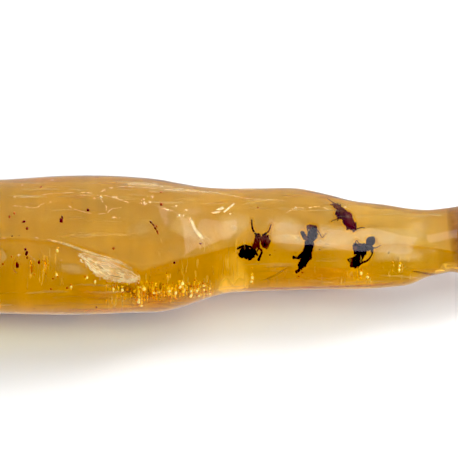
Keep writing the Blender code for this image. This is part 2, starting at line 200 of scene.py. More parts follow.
# pattern scales count features to the metre, so 1000 is one to each millimetre
resinLook = {
    "bend": 1.54, "polish": 0.05, "crustRoughness": 0.85, "clear": 1.0, "crustClear": 0.05,
    "depthColour": (0.95, 0.9, 0.33, 1.0), "depthStrength": 180.0,
    # the crust as it looks through the resin: its colour to the left and to the right, and where it turns, in metres
    "innerLeft": "FCD84C", "innerRight": "FCD44A", "turnsFrom": -0.01, "turnsTo": 0.02,
    "ribScale": (850, 90, 90), "cloudScale": 170.0, "ribShare": 0.55, "shadeFrom": (0.55, 1.0),
    "innerShade": (0.83, 1.06),
    # the crust from outside
    "crustDark": "7C4A10", "crustLight": "D2942E", "driftScale": 420.0, "drift": 0.0016,
    "crazeScale": 1150.0, "crazeWidth": 0.08, "crazeShade": 0.8, "blotches": (0.36, 0.66), "tintFrom": 0.25,
    "waveScale": 260.0, "waveHeight": 0.00003,
}


# Copal: a young tree resin, dug up and polished by hand on a wet wheel. Clear, honey yellow through its depth, with a
# gloss like boiled sweets. The colour is in the depth, so the thin edges are pale and the thick middle is deep gold.
# Where the wheel didn't reach, the old crust is left, dull and brown, and it lets little light through.
def clearCopal():
    look = resinLook
    made, tree, shader = newMaterial("polishedCopal")
    shader.inputs["Base Color"].default_value = hexColour("FFFFFF")
    shader.inputs["Roughness"].default_value = look["polish"]
    shader.inputs["IOR"].default_value = look["bend"]
    shader.inputs["Transmission Weight"].default_value = look["clear"]
    place = addNode(tree, "ShaderNodeTexCoord")
    rindShare = addNode(tree, "ShaderNodeAttribute", {"attribute_name": "rind"})
    haze = addNode(tree, "ShaderNodeMapRange", {"To Min": look["polish"], "To Max": look["crustRoughness"]},
        {"Value": rindShare.outputs["Fac"]})
    tree.links.new(haze.outputs["Result"], shader.inputs["Roughness"])
    clear = addNode(tree, "ShaderNodeMapRange", {"To Min": look["clear"], "To Max": look["crustClear"]},
        {"Value": rindShare.outputs["Fac"]})
    tree.links.new(clear.outputs["Result"], shader.inputs["Transmission Weight"])
    along = addNode(tree, "ShaderNodeSeparateXYZ", {}, {"Vector": place.outputs["Object"]})
    toRight = addNode(tree, "ShaderNodeMapRange", {"From Min": look["turnsFrom"], "From Max": look["turnsTo"]},
        {"Value": along.outputs["X"]})
    rind = addNode(tree, "ShaderNodeMix", {"data_type": "RGBA"}, {"Factor": toRight.outputs["Result"]})
    rind.inputs[6].default_value = hexColour(look["innerLeft"])
    rind.inputs[7].default_value = hexColour(look["innerRight"])
    # the rind's own look: ribs that run round the lump, and broad clouds
    ribbed = addNode(tree, "ShaderNodeMapping", {"Scale": look["ribScale"]}, {"Vector": place.outputs["Object"]})
    ribs = addNode(tree, "ShaderNodeTexNoise", {"Scale": 1.0, "Detail": 3.0}, {"Vector": ribbed.outputs["Vector"]})
    clouds = addNode(tree, "ShaderNodeTexNoise", {"Scale": look["cloudScale"], "Detail": 5.0},
        {"Vector": place.outputs["Object"]})
    both = addNode(tree, "ShaderNodeMath", {"operation": "MULTIPLY_ADD", 1: look["ribShare"]},
        {0: ribs.outputs["Fac"], 2: clouds.outputs["Fac"]})
    darkest, lightest = look["innerShade"]
    low, high = look["shadeFrom"]
    spread = {"From Min": low, "From Max": high, "To Min": darkest, "To Max": lightest}
    shade = addNode(tree, "ShaderNodeMapRange", spread, {"Value": both.outputs[0]})
    aged = addNode(tree, "ShaderNodeVectorMath", {"operation": "SCALE"},
        {"Vector": rind.outputs[2], "Scale": shade.outputs["Result"]})
    # seen from outside the rind is a dull brown crust, crazed by drying
    drift = addNode(tree, "ShaderNodeTexNoise", {"Scale": look["driftScale"], "Detail": 3.0},
        {"Vector": place.outputs["Object"]})
    pushed = addNode(tree, "ShaderNodeVectorMath", {"operation": "SCALE", "Scale": look["drift"]},
        {"Vector": drift.outputs["Color"]})
    wander = addNode(tree, "ShaderNodeVectorMath", {"operation": "ADD"},
        {0: place.outputs["Object"], 1: pushed.outputs["Vector"]})
    cells = {"Scale": look["crazeScale"], "feature": "DISTANCE_TO_EDGE"}
    crazed = addNode(tree, "ShaderNodeTexVoronoi", cells, {"Vector": wander.outputs["Vector"]})
    craze = {"From Min": 0.0, "From Max": look["crazeWidth"], "To Min": look["crazeShade"]}
    lines = addNode(tree, "ShaderNodeMapRange", craze, {"Value": crazed.outputs["Distance"]})
    dull, bright = look["blotches"]
    blotches = addNode(tree, "ShaderNodeMapRange", {"From Min": dull, "From Max": bright},
        {"Value": clouds.outputs["Fac"]})
    stained = addNode(tree, "ShaderNodeMix", {"data_type": "RGBA"}, {"Factor": blotches.outputs["Result"]})
    stained.inputs[6].default_value = hexColour(look["crustDark"])
    stained.inputs[7].default_value = hexColour(look["crustLight"])
    crust = addNode(tree, "ShaderNodeVectorMath", {"operation": "SCALE"},
        {"Vector": stained.outputs[2], "Scale": lines.outputs["Result"]})
    side = addNode(tree, "ShaderNodeNewGeometry")
    old = addNode(tree, "ShaderNodeMix", {"data_type": "RGBA"}, {"Factor": side.outputs["Backfacing"]})
    tree.links.new(crust.outputs["Vector"], old.inputs[6])
    tree.links.new(aged.outputs["Vector"], old.inputs[7])
    soon = addNode(tree, "ShaderNodeMapRange", {"From Max": look["tintFrom"]}, {"Value": rindShare.outputs["Fac"]})
    tint = addNode(tree, "ShaderNodeMix", {"data_type": "RGBA"}, {"Factor": soon.outputs["Result"]})
    tint.inputs[6].default_value = (1, 1, 1, 1)
    tree.links.new(old.outputs[2], tint.inputs[7])
    # the wheel leaves low waves in the polish
    waves = addNode(tree, "ShaderNodeTexNoise", {"Scale": look["waveScale"], "Detail": 2.0},
        {"Vector": place.outputs["Object"]})
    uneven = addNode(tree, "ShaderNodeBump", {"Strength": 1.0, "Distance": look["waveHeight"]},
        {"Height": waves.outputs["Fac"]})
    tree.links.new(uneven.outputs["Normal"], shader.inputs["Normal"])
    tree.links.new(tint.outputs[2], shader.inputs["Base Color"])
    depth = addNode(tree, "ShaderNodeVolumeAbsorption",
        {"Color": look["depthColour"], "Density": look["depthStrength"]})
    tree.links.new(depth.outputs["Volume"], tree.nodes["Material Output"].inputs["Volume"])
    return made


copal = makeLump(lumpShape, clearCopal())
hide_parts("copal_front", "copal_back")
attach(copal, "root")
print("the lump of copal is made")


chitinLook = {"patchScale": 900.0, "pitStrength": 0.35, "pitDepth": 0.00003, "gleam": 0.1}


# Chitin: an ant's hard skin, grown smooth with fine pits. Nearly black through the resin, with a soft gleam.
def antSkin(name, dark, light, roughness, pitSize):
    made, tree, shader = newMaterial(name)
    place = addNode(tree, "ShaderNodeTexCoord")
    patches = addNode(tree, "ShaderNodeTexNoise", {"Scale": chitinLook["patchScale"], "Detail": 3.0},
        {"Vector": place.outputs["Object"]})
    colour = addNode(tree, "ShaderNodeMix", {"data_type": "RGBA"}, {"Factor": patches.outputs["Fac"]})
    colour.inputs[6].default_value = hexColour(dark)
    colour.inputs[7].default_value = hexColour(light)
    tree.links.new(colour.outputs[2], shader.inputs["Base Color"])
    pits = addNode(tree, "ShaderNodeTexVoronoi", {"Scale": 1 / (pitSize * mm)}, {"Vector": place.outputs["Object"]})
    relief = {"Strength": chitinLook["pitStrength"], "Distance": chitinLook["pitDepth"]}
    bump = addNode(tree, "ShaderNodeBump", relief,
        {"Height": pits.outputs["Distance"]})
    tree.links.new(bump.outputs["Normal"], shader.inputs["Normal"])
    shader.inputs["Roughness"].default_value = roughness
    # the resin touches the skin, so little light turns back
    shader.inputs["Specular IOR Level"].default_value = chitinLook["gleam"]
    return made


blackChitin = antSkin("blackChitin", "040303", "0A0604", 0.5, 0.07)
brownChitin = antSkin("brownChitin", "3A1A08", "7A4318", 0.42, 0.07)
redChitin = antSkin("redChitin", "330604", "5E1A08", 0.4, 0.07)

# Each insect is laid out from its place in the layer, in millimetres: along x, up the layer, out of it towards the
# window. A segment is centre, radii, turn, how many bands it has and its material. A limb is its points, the radius
# at its root and at its tip, and its material.
insects = {
    "curledAnt": {
        "node": "curled_ant", "slot": "black_chitin", "place": (7.95, 0.15, 0.0),
        "materials": [blackChitin, brownChitin],
        "segments": {
            "gaster": ((-0.98, -0.87, 0.0), (0.86, 0.5, 0.52), -10, 5, 0),
            "gasterTip": ((-1.58, -1.08, 0.0), (0.52, 0.2, 0.28), 4, 3, 0),
            "gasterShoulder": ((-1.2, -0.62, 0.0), (0.42, 0.22, 0.34), 30, 2, 0),
            "waist": ((-0.3, -0.4, 0.0), (0.42, 0.17, 0.2), 38, 1, 1),
            "thorax": ((0.1, 0.12, 0.0), (0.62, 0.27, 0.3), 62, 2, 1),
            "collar": ((0.28, 0.5, 0.0), (0.3, 0.22, 0.24), 70, 0, 0),
            "neck": ((0.66, 0.36, 0.0), (0.34, 0.1, 0.12), -22, 0, 1),
            "head": ((1.17, 0.15, 0.05), (0.47, 0.41, 0.36), -20, 0, 1),
            "eye": ((1.22, 0.0, 0.3), (0.15, 0.12, 0.1), 10, 0, 0),
            "jaw": ((1.36, 0.42, 0.1), (0.16, 0.08, 0.08), 30, 0, 0),
        },
        "limbs": {
            "leftScape": (((0.3, 0.55, 0.0), (0.1, 0.72, 0.06), (-0.12, 1.0, 0.1)), 0.08, 0.11, 0),
            "leftFeeler": (((-0.15, 1.08, 0.1), (-0.33, 1.35, 0.1), (-0.44, 1.85, 0.0), (-0.47, 2.3, -0.2),
                (-0.46, 2.62, -0.4)), 0.1, 0.05, 0),
            "rightScape": (((0.78, 0.62, 0.02), (1.0, 0.78, 0.1), (1.38, 1.0, 0.1)), 0.09, 0.11, 0),
            "rightFeeler": (((1.38, 1.0, 0.1), (1.62, 1.3, 0.1), (1.78, 1.75, 0.05), (1.9, 2.1, 0.0)), 0.08, 0.05, 1),
            "foreLeg": (((-0.4, -0.3, 0.1), (-1.0, -0.2, 0.25), (-1.3, -0.14, 0.25), (-1.75, -0.3, 0.1),
                (-2.35, -0.52, 0.0)), 0.08, 0.1, 0),
            "foreFoot": (((-1.3, -0.14, 0.25), (-1.28, -0.42, 0.2), (-1.45, -0.62, 0.1)), 0.08, 0.05, 0),
            "middleLeg": (((-0.2, -0.35, 0.0), (0.0, -0.78, 0.15), (0.24, -1.18, 0.1)), 0.09, 0.08, 0),
            "hindThigh": (((0.1, -0.1, 0.0), (0.5, -0.45, 0.2), (0.78, -0.68, 0.2)), 0.07, 0.11, 1),
            "hindShin": (((0.78, -0.68, 0.2), (0.6, -1.05, 0.1), (0.42, -1.35, 0.05), (0.28, -1.66, 0.0)), 0.09,
                0.12, 0),
            "farLeg": (((0.1, 0.0, -0.1), (0.45, -0.15, -0.6), (0.1, -0.75, -0.8)), 0.08, 0.06, 1),
        },
    },
    "longAnt": {
        "node": "long_ant", "slot": "black_chitin", "place": (14.3, -0.15, 0.0),
        "materials": [blackChitin, brownChitin],
        "segments": {
            "thorax": ((0.0, -0.3, 0.0), (0.6, 0.45, 0.44), 70, 3, 0),
            "waist": ((0.2, 0.32, 0.0), (0.46, 0.37, 0.36), 80, 2, 0),
            "gaster": ((0.62, 1.2, 0.0), (0.95, 0.48, 0.46), 78, 6, 0),
            "gasterTip": ((0.62, 2.02, 0.0), (0.42, 0.24, 0.26), -18, 2, 1),
            "gasterSide": ((0.12, 2.1, 0.0), (0.16, 0.12, 0.12), 0, 0, 1),
            "shoulder": ((-0.22, -0.98, 0.0), (0.66, 0.44, 0.42), 64, 3, 0),
            "shoulderEdge": ((0.1, -1.05, 0.05), (0.3, 0.26, 0.3), 20, 0, 0),
            "head": ((-0.62, -1.7, 0.0), (0.5, 0.3, 0.3), 50, 1, 0),
            "wingPad": ((-0.5, 0.98, 0.02), (0.55, 0.2, 0.16), 112, 3, 0),
        },
        "limbs": {
            "padRoot": (((0.1, 0.4, 0.0), (-0.2, 0.62, 0.1), (-0.36, 0.85, 0.0)), 0.2, 0.18, 1),
            "bentLeg": (((0.5, 1.2, 0.0), (0.03, 1.55, -0.1), (0.03, 1.9, 0.0)), 0.08, 0.07, 1),
            "foreThigh": (((-0.2, -0.6, 0.0), (-0.7, -0.72, 0.1), (-1.2, -1.16, 0.1)), 0.17, 0.13, 0),
            "foreShin": (((-1.15, -1.12, 0.1), (-1.5, -1.02, 0.08), (-1.82, -0.96, 0.0)), 0.07, 0.15, 0),
            "feeler": (((-0.75, -1.95, 0.0), (-0.84, -2.15, 0.05), (-0.95, -2.3, 0.03)), 0.07, 0.06, 0),
            "feelerClub": (((-0.86, -2.26, 0.03), (-1.15, -2.46, 0.0), (-1.44, -2.62, 0.0)), 0.12, 0.16, 0),
            "jaw": (((-0.5, -1.7, 0.0), (-0.28, -1.9, 0.0), (-0.1, -1.98, 0.0)), 0.09, 0.07, 0),
            "midLeg": (((0.2, -0.6, 0.2), (0.42, -0.62, 0.3), (0.5, -0.9, 0.2)), 0.08, 0.06, 0),
            "thinLeg": (((0.95, 1.35, 0.0), (1.2, 1.63, 0.1), (1.5, 1.25, 0.1), (1.78, 0.72, 0.0), (2.1, 1.05, 0.0),
                (2.4, 1.4, 0.0)), 0.055, 0.035, 1),
            "farLeg": (((0.0, -0.3, -0.2), (0.25, -0.8, -0.75), (-0.1, -1.4, -0.7)), 0.08, 0.06, 0),
        },
    },
    "redAnt": {
        "node": "red_ant", "slot": "red_chitin", "place": (18.94, 2.94, -0.7), "materials": [redChitin, brownChitin],
        "segments": {
            "gaster": ((0.52, -0.42, 0.0), (1.1, 0.58, 0.5), -54, 6, 0),
            "gasterTip": ((1.1, -1.22, 0.0), (0.36, 0.22, 0.2), -50, 2, 1),
            "waist": ((-0.1, 0.32, -0.05), (0.3, 0.26, 0.26), -48, 0, 1),
            "thorax": ((-0.45, 0.6, -0.1), (0.6, 0.42, 0.4), -48, 3, 1),
            "chest": ((-0.52, 0.3, 0.0), (0.3, 0.22, 0.3), -10, 0, 0),
            "head": ((-1.0, 1.22, -0.2), (0.4, 0.3, 0.3), -35, 0, 1),
            "eye": ((-1.02, 1.1, 0.0), (0.11, 0.09, 0.09), 0, 0, 0),
        },
        "limbs": {
            "longFeeler": (((-1.0, 1.25, -0.2), (-1.26, 1.56, -0.3), (-1.76, 1.85, -0.7), (-2.2, 2.1, -1.2)), 0.07,
                0.045, 1),
            "shortFeeler": (((-1.0, 1.3, -0.2), (-1.4, 1.42, -0.1), (-1.89, 1.35, -0.4)), 0.09, 0.05, 1),
            "foreLeg": (((-0.45, 0.4, 0.0), (-0.75, 0.12, 0.1), (-1.05, -0.12, 0.0), (-1.51, -0.28, -0.1),
                (-1.7, -0.5, -0.2)), 0.07, 0.04, 1),
            "foreFoot": (((-0.75, 0.12, 0.1), (-0.86, -0.2, 0.0), (-0.98, -0.34, -0.1)), 0.06, 0.04, 1),
            "hindLeg": (((1.1, -1.2, 0.0), (1.49, -1.3, 0.0), (1.85, -1.2, 0.0), (2.11, -1.12, 0.0),
                (2.6, -1.2, -0.1)), 0.07, 0.05, 1),
            "hindKnee": (((1.3, -1.3, 0.02), (1.5, -1.36, 0.0)), 0.1, 0.09, 0),
            "farLeg": (((-0.3, 0.5, -0.2), (-0.1, 0.1, -0.7), (0.2, -0.3, -0.75)), 0.07, 0.05, 1),
        },
    },
    "wingedAnt": {
        "node": "winged_ant", "slot": "black_chitin", "place": (21.1, -0.7, 0.0),
        "materials": [blackChitin, brownChitin],
        "segments": {
            "thorax": ((0.0, 0.02, 0.0), (0.52, 0.42, 0.4), 20, 2, 0),
            "shoulder": ((0.72, 0.12, 0.0), (0.72, 0.22, 0.3), -6, 3, 0),
            "head": ((-0.72, 0.16, 0.0), (0.42, 0.34, 0.34), 12, 0, 0),
            "eye": ((-0.88, 0.1, 0.28), (0.12, 0.1, 0.08), 0, 0, 1),
            "brow": ((-0.35, 0.38, 0.05), (0.22, 0.14, 0.16), 20, 0, 1),
            "waist": ((-0.24, -0.42, 0.0), (0.52, 0.31, 0.32), 62, 2, 0),
            "gaster": ((-0.8, -1.04, 0.0), (0.6, 0.45, 0.44), 24, 4, 0),
            "gasterTip": ((-1.25, -0.92, 0.0), (0.38, 0.18, 0.2), -12, 2, 0),
            "gasterEnd": ((-0.6, -1.34, 0.0), (0.4, 0.2, 0.26), 30, 2, 0),
        },
        "limbs": {
            "feeler": (((-0.85, 0.3, 0.0), (-0.9, 0.55, 0.05), (-0.74, 0.95, 0.1), (-0.58, 0.85, 0.05),
                (-0.4, 0.5, 0.0)), 0.06, 0.045, 1),
            "longThigh": (((-0.5, -1.3, 0.0), (-0.1, -1.18, 0.1), (0.2, -1.06, 0.1)), 0.12, 0.08, 0),
            "longShin": (((0.2, -1.06, 0.1), (0.5, -1.0, 0.1), (0.85, -0.8, 0.08), (1.1, -0.55, 0.04),
                (1.37, -0.2, 0.0)), 0.09, 0.05, 0),
            "thinLeg": (((1.2, 0.15, 0.0), (1.55, 0.08, 0.0), (1.91, 0.2, 0.0), (2.4, 0.47, -0.1)), 0.06, 0.035, 1),
            "farLeg": (((0.0, 0.0, -0.1), (0.3, -0.3, -0.6), (0.0, -0.8, -0.8)), 0.08, 0.06, 0),
        },
        "wing": {"root": (0.6, 0.3, 0.08), "tip": (1.5, 1.46, 0.1), "width": 1.15, "thick": 0.07},
    },
}

antDetail = {
    "segmentSides": 30, "segmentRings": 26, "limbSides": 10, "stepsPerSpan": 6, "fuller": 1.05, "limbFuller": 1.4,
    "bandDepth": 0.1, "swollen": 1.05, "broadLumps": 0.13, "fineLumps": 0.1, "knuckle": 0.22, "limbRoot": 0.6,
    "limbTip": 0.45,
    "hairs": 34, "hairSeed": 100, "hairLength": 0.16, "hairRadii": [0.016, 0.012, 0.003], "hairSides": 4,
    "grit": 30, "gritSeed": 200, "gritSize": (0.08, 0.24), "gritLength": 1.6, "gritSides": 6,
    "wingRows": 25, "wingColumns": 17, "veinHeight": 0.03,
}


def turnedBy(degrees):
    a = math.radians(degrees)
    return np.array([[math.cos(a), math.sin(a), 0], [-math.sin(a), math.cos(a), 0], [0, 0, 1]])


def antPart(shape):
    centre, radii, turn, bands = shape[:4]
    sides, rings = antDetail["segmentSides"], antDetail["segmentRings"]
    along = np.linspace(0, math.pi, rings)[:, None]
    round_ = np.linspace(0, 2 * math.pi, sides, endpoint=False)[None, :]
    t = -np.cos(along)
    fat = np.sin(along) ** 0.85
    if bands:
        ring = (t + 1) / 2 * bands
        fat = fat * (1 - antDetail["bandDepth"] * (ring - np.floor(ring)) ** 3 * (np.sin(along) > 0.2))
    x = radii[0] * t + 0 * round_
    y = radii[1] * antDetail["fuller"] * fat * np.cos(round_)
    z = radii[2] * antDetail["fuller"] * fat * np.sin(round_)
    points = np.stack([x, y, z], axis=-1).reshape(-1, 3)
    lumps = [antDetail["broadLumps"] * noise.noise(Vector(p) * 2.2 + Vector(centre) * 3)
             + antDetail["fineLumps"] * noise.noise(Vector(p) * 6 + Vector(centre)) for p in points]
    points = points * (antDetail["swollen"] + np.array(lumps)[:, None])
    return points @ turnedBy(turn) + np.array(centre), gridFaces(rings, sides)


def gridFaces(rings, sides):
    faces = []
    for i in range(rings - 1):
        for j in range(sides):
            k = (j + 1) % sides
            faces.append((i * sides + j, i * sides + k, (i + 1) * sides + k, (i + 1) * sides + j))
    faces.append(tuple(reversed(range(sides))))
    faces.append(tuple((rings - 1) * sides + j for j in range(sides)))
    return faces


def smoothPath(points, steps):
    p = [np.array(q, dtype=float) for q in points]
    p = [2 * p[0] - p[1], *p, 2 * p[-1] - p[-2]]
    path = []
    for i in range(1, len(p) - 2):
        for t in np.arange(steps) / steps:
            path.append(0.5 * (2 * p[i] + (p[i + 1] - p[i - 1]) * t
                               + (2 * p[i - 1] - 5 * p[i] + 4 * p[i + 1] - p[i + 2]) * t**2
                               + (3 * p[i] - p[i - 1] - 3 * p[i + 1] + p[i + 2]) * t**3))
    path.append(p[-2])
    return np.array(path)


def tube(path, radii, sides):
    points = []
    for i, at in enumerate(path):
        ahead = path[min(i + 1, len(path) - 1)] - path[max(i - 1, 0)]
        ahead = ahead / (np.linalg.norm(ahead) + 1e-9)
        side = np.cross(ahead, (0.0, 0.0, 1.0) if abs(ahead[2]) < 0.9 else (1.0, 0.0, 0.0))
        side = side / np.linalg.norm(side)
        other = np.cross(ahead, side)
        for j in range(sides):
            a = 2 * math.pi * j / sides
            points.append(at + radii[i] * (side * math.cos(a) + other * math.sin(a)))
    return np.array(points), gridFaces(len(path), sides)


def antLimb(shape):
    steps = antDetail["stepsPerSpan"]
    path = smoothPath(shape[0], steps)
    share = np.linspace(0, 1, len(path))
    knuckle = np.abs(np.cos(math.pi * np.arange(len(path)) / steps))  # 1 at each joint of the limb
    radii = (antDetail["limbFuller"] * (shape[1] + (shape[2] - shape[1]) * share)
             * (1 - antDetail["knuckle"] * knuckle**4))
    radii[0] *= antDetail["limbRoot"]
    radii[-1] *= antDetail["limbTip"]
    return tube(path, radii, antDetail["limbSides"])


def antHairs(shape, seed):
    dice = random.Random(seed)
    centre, radii, spin = np.array(shape[0]), np.array(shape[1]), turnedBy(shape[2])
    points, faces = [], []
    for _ in range(antDetail["hairs"]):
        d = np.array([dice.gauss(0, 1) for _ in range(3)])
        d /= np.linalg.norm(d)
        root, out = (d * radii) @ spin + centre, (d / radii) @ spin
        out = out / np.linalg.norm(out) + np.array([dice.uniform(-0.5, 0.5) for _ in range(3)])
        tip = root + out * antDetail["hairLength"] * dice.uniform(0.5, 1.0)
        p, f = tube(np.array([root, (root + tip) / 2, tip]), antDetail["hairRadii"], antDetail["hairSides"])
        faces += [[i + len(points) for i in face] for face in f]
        points += list(p)
    return np.array(points), faces


def antGrit(shape, seed):
    dice = random.Random(seed)
    centre, radii, spin = np.array(shape[0]), np.array(shape[1]), turnedBy(shape[2])
    points, faces = [], []
    for _ in range(antDetail["grit"]):
        d = np.array([dice.gauss(0, 1), dice.gauss(0, 1), dice.gauss(0, 0.5)])
        at = (d / np.linalg.norm(d) * radii * 0.98) @ spin + centre
        size = dice.uniform(*antDetail["gritSize"]) * (0.4 + min(radii[1], 0.6))
        long = np.array([dice.uniform(-1, 1) for _ in range(3)]) * size * antDetail["gritLength"]
        path = np.array([at - long, at - long * 0.5, at + long * 0.5, at + long])
        p, f = tube(path, np.array([0.3, 1.0, 0.8, 0.3]) * size, antDetail["gritSides"])
        faces += [[i + len(points) for i in face] for face in f]
        points += list(p)
    return np.array(points), faces


def antWing(wing):
    root, tip = np.array(wing["root"]), np.array(wing["tip"])
    ahead = (tip - root) / np.linalg.norm(tip - root)
    side = np.cross((0.0, 0.0, 1.0), ahead)
    rows, columns = antDetail["wingRows"], antDetail["wingColumns"]
    points = []
    for face in (1, -1):
        for i in range(rows):
            t = i / (rows - 1)
            half = wing["width"] / 2 * math.sin(math.pi * min(1.0, t * 0.94 + 0.03)) ** 0.8
            for j in range(columns):
                s = 2 * j / (columns - 1) - 1
                vein = antDetail["veinHeight"] * abs(math.sin(5.5 * s + 3 * t)) ** 6 + 0.02 * (abs(s) > 0.9)
                up = face * wing["thick"] / 2 * (1 - s * s) ** 0.5 * min(1, 8 * (1 - t), 8 * t)
                up = up + face * vein * (1 - abs(s))
                points.append(root + ahead * t * np.linalg.norm(tip - root) + side * half * s + np.array((0, 0, up)))
    faces = []
    for face in (0, 1):
        start = face * rows * columns
        for i in range(rows - 1):
            for j in range(columns - 1):
                k = start + i * columns + j
                quad = [k, k + 1, k + columns + 1, k + columns]
                faces.append(quad if face else quad[::-1])
    return np.array(points), faces


def makeAnt(name, ant):
    points, faces, slots = [], [], []

    def add(made, slot):
        p, f = made
        faces.extend([[i + len(points) for i in face] for face in f])
        slots.extend([slot] * len(f))
        points.extend(p)

    for i, shape in enumerate(ant["segments"].values()):
        add(antPart(shape), shape[4])
        add(antHairs(shape, antDetail["hairSeed"] + i), shape[4])
        add(antGrit(shape, antDetail["gritSeed"] + i), shape[4])
    for shape in ant["limbs"].values():
        add(antLimb(shape), shape[3])
    if "wing" in ant:
        add(antWing(ant["wing"]), 0)
    points = [layerPlace @ (Vector(ant["place"]) + Vector(p)) * mm for p in points]
    piece = pieceFrom(name, points, faces, ant["materials"], slots)
    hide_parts(ant["node"])
    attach(piece, "root")
    return piece


ants = [makeAnt(name, ant) for name, ant in insects.items()]
print("the four ants are made")


# what else the resin holds

studioCamera = {
    "azimuth": 0.0, "elevation": 50.0, "distance": 0.239, "lens": 150.0, "sensor": 36.0, "aim": (4.69, 1.486, 9.097),
}

# Places below are across and down the 458 by 459 picture of the studio camera, since that is how the pieces were
# noted down: each one is looked up along the bent line of sight, at a depth in millimetres under the skin.
lookIn = {"across": 458, "down": 459, "mostDeep": 0.45, "middleLine": 245, "stepIn": 0.5, "justUnder": 1e-5,
    "leastThrough": 0.001, "antDepths": (2.0, 2.6, 3.2, 3.8, 4.4, 5.0), "clearOf": (0.08, 0.4)}

skinTree = BVHTree.FromObject(copal, bpy.context.evaluated_depsgraph_get())
antTrees = [BVHTree.FromObject(ant, bpy.context.evaluated_depsgraph_get()) for ant in ants]


def directions(view):  # back towards the camera, and to its right
    a, e = math.radians(view["azimuth"]), math.radians(view["elevation"])
    back = Vector((math.sin(a) * math.cos(e), -math.cos(a) * math.cos(e), math.sin(e)))
    return back, Vector((math.cos(a), math.sin(a), 0.0))


def sightLine(px, py):
    view = studioCamera
    back, right = directions(view)
    step = view["sensor"] / view["lens"] / max(lookIn["across"], lookIn["down"])
    across, up = (px - lookIn["across"] / 2) * step, (lookIn["down"] / 2 - py) * step
    ahead = (right * across + back.cross(right) * up - back).normalized()
    return Vector(view["aim"]) * mm + back * view["distance"], ahead


def inside(px, py, depth):
    start, ahead = sightLine(px, py)
    hit, normal, _, _ = skinTree.ray_cast(start, ahead)
    while hit is None:  # a place just off the edge is drawn in to the middle line
        py += lookIn["stepIn"] if py < lookIn["middleLine"] else -lookIn["stepIn"]
        start, ahead = sightLine(px, py)
        hit, normal, _, _ = skinTree.ray_cast(start, ahead)
    share = 1 / resinLook["bend"]
    slant = -ahead.dot(normal)
    bent = (ahead * share + normal * (share * slant - math.sqrt(1 - share**2 * (1 - slant**2)))).normalized()
    through = skinTree.ray_cast(hit + bent * lookIn["justUnder"], bent)[3] or lookIn["leastThrough"]
    return hit / mm + bent * min(depth, through / mm * lookIn["mostDeep"])


def nearAnt(px, py):  # how far the line of sight passes from an ant, in millimetres
    places = [inside(px, py, depth) * mm for depth in lookIn["antDepths"]]
    return min(tree.find_nearest(place)[3] for tree in antTrees for place in places) / mm


def clearOfAnts(px, py):  # the haze opens round the ants, so that they stay sharp
    none, full = lookIn["clearOf"]
    return min(1.0, max(0.0, (nearAnt(px, py) - none) / (full - none)))


class Heap:  # one joined mesh that small bits are added to
    def __init__(self):
        self.points, self.faces, self.fades = [], [], []

    def add(self, points, faces, fades=None):
        start = len(self.points)
        self.points += [Vector(p) for p in points]
        self.faces += [[i + start for i in face] for face in faces]
        self.fades += list(fades) if fades is not None else [1.0] * len(points)

    def build(self, name, material):
        piece = pieceFrom(name, [p * mm for p in self.points], self.faces, [material])
        piece.data.attributes.new("fade", "FLOAT", "POINT").data.foreach_set("value", self.fades)
        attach(piece, "root")
        return piece


pixel = 0.125  # millimetres to one step of the picture
crossUp, crossOut = Vector((0.0, 0.766, 0.643)), Vector((0.0, -0.643, 0.766))  # up the layer, and out of the window


def addGrain(heap, px, py, wide, high, turn=0.0, depth=1.2, rough=0.18, sides=7, rings=6):
    centre = inside(px, py, depth)
    a = math.radians(turn)
    across = (Vector((1, 0, 0)) * math.cos(a) + crossUp * math.sin(a)) * wide * pixel / 2
    up = (crossUp * math.cos(a) - Vector((1, 0, 0)) * math.sin(a)) * high * pixel / 2
    out = crossOut * min(wide, high) * pixel / 2
    points = []
    for i in range(rings):
        t = math.pi * i / (rings - 1)
        for j in range(sides):
            s = 2 * math.pi * j / sides
            ball = Vector((math.sin(t) * math.cos(s), math.cos(t), math.sin(t) * math.sin(s)))
            swell = 1 + rough * noise.noise(ball * 1.7 + Vector((px, py, 0)))
            points.append(centre + (across * ball.x + up * ball.y + out * ball.z) * swell)
    heap.add(points, gridFaces(rings, sides))


def addThread(heap, places, thick=0.8, depth=0.6, wander=0.35, broken=0.0, seed=1, steps=5):
    dice = random.Random(seed)
    path = smoothPath([(*p, depth) for p in places], steps)
    at = [inside(p[0] + dice.uniform(-wander, wander), p[1] + dice.uniform(-wander, wander), p[2]) for p in path]
    start = 0
    while start < len(at) - 1:
        length = len(at) if broken == 0 else dice.randint(2, 5)
        run = at[start:start + length]
        if len(run) > 1 and dice.random() >= broken:
            radii = [thick * pixel / 2 * dice.uniform(0.55, 1.15) for _ in run]
            radii[0] *= 0.3
            radii[-1] *= 0.3
            points, faces = tube([np.array(p) for p in run], radii, 5)
            heap.add(points, faces)
        start += length - 1


def addVeil(heap, places, depth, strength, soft=1.4, rings=14):
    loop = smoothPath([(*p, 0.0) for p in (*places, places[0])], 4)[:-1, :2]
    centre = loop.mean(axis=0)
    points, fades = [inside(*centre, depth)], [strength]
    for ring in range(1, rings + 1):
        share = ring / rings
        for place in loop:
            place = centre + (place - centre) * share
            points.append(inside(*place, depth))
            fades.append(strength * clearOfAnts(*place) * (1 - share**2) ** soft)
    n = len(loop)
    faces = [(0, 1 + i, 1 + (i + 1) % n) for i in range(n)]
    for ring in range(rings - 1):
        for i in range(n):
            k = (i + 1) % n
            faces.append((1 + ring * n + i, 1 + (ring + 1) * n + i, 1 + (ring + 1) * n + k, 1 + ring * n + k))
    heap.add(points, faces, fades)


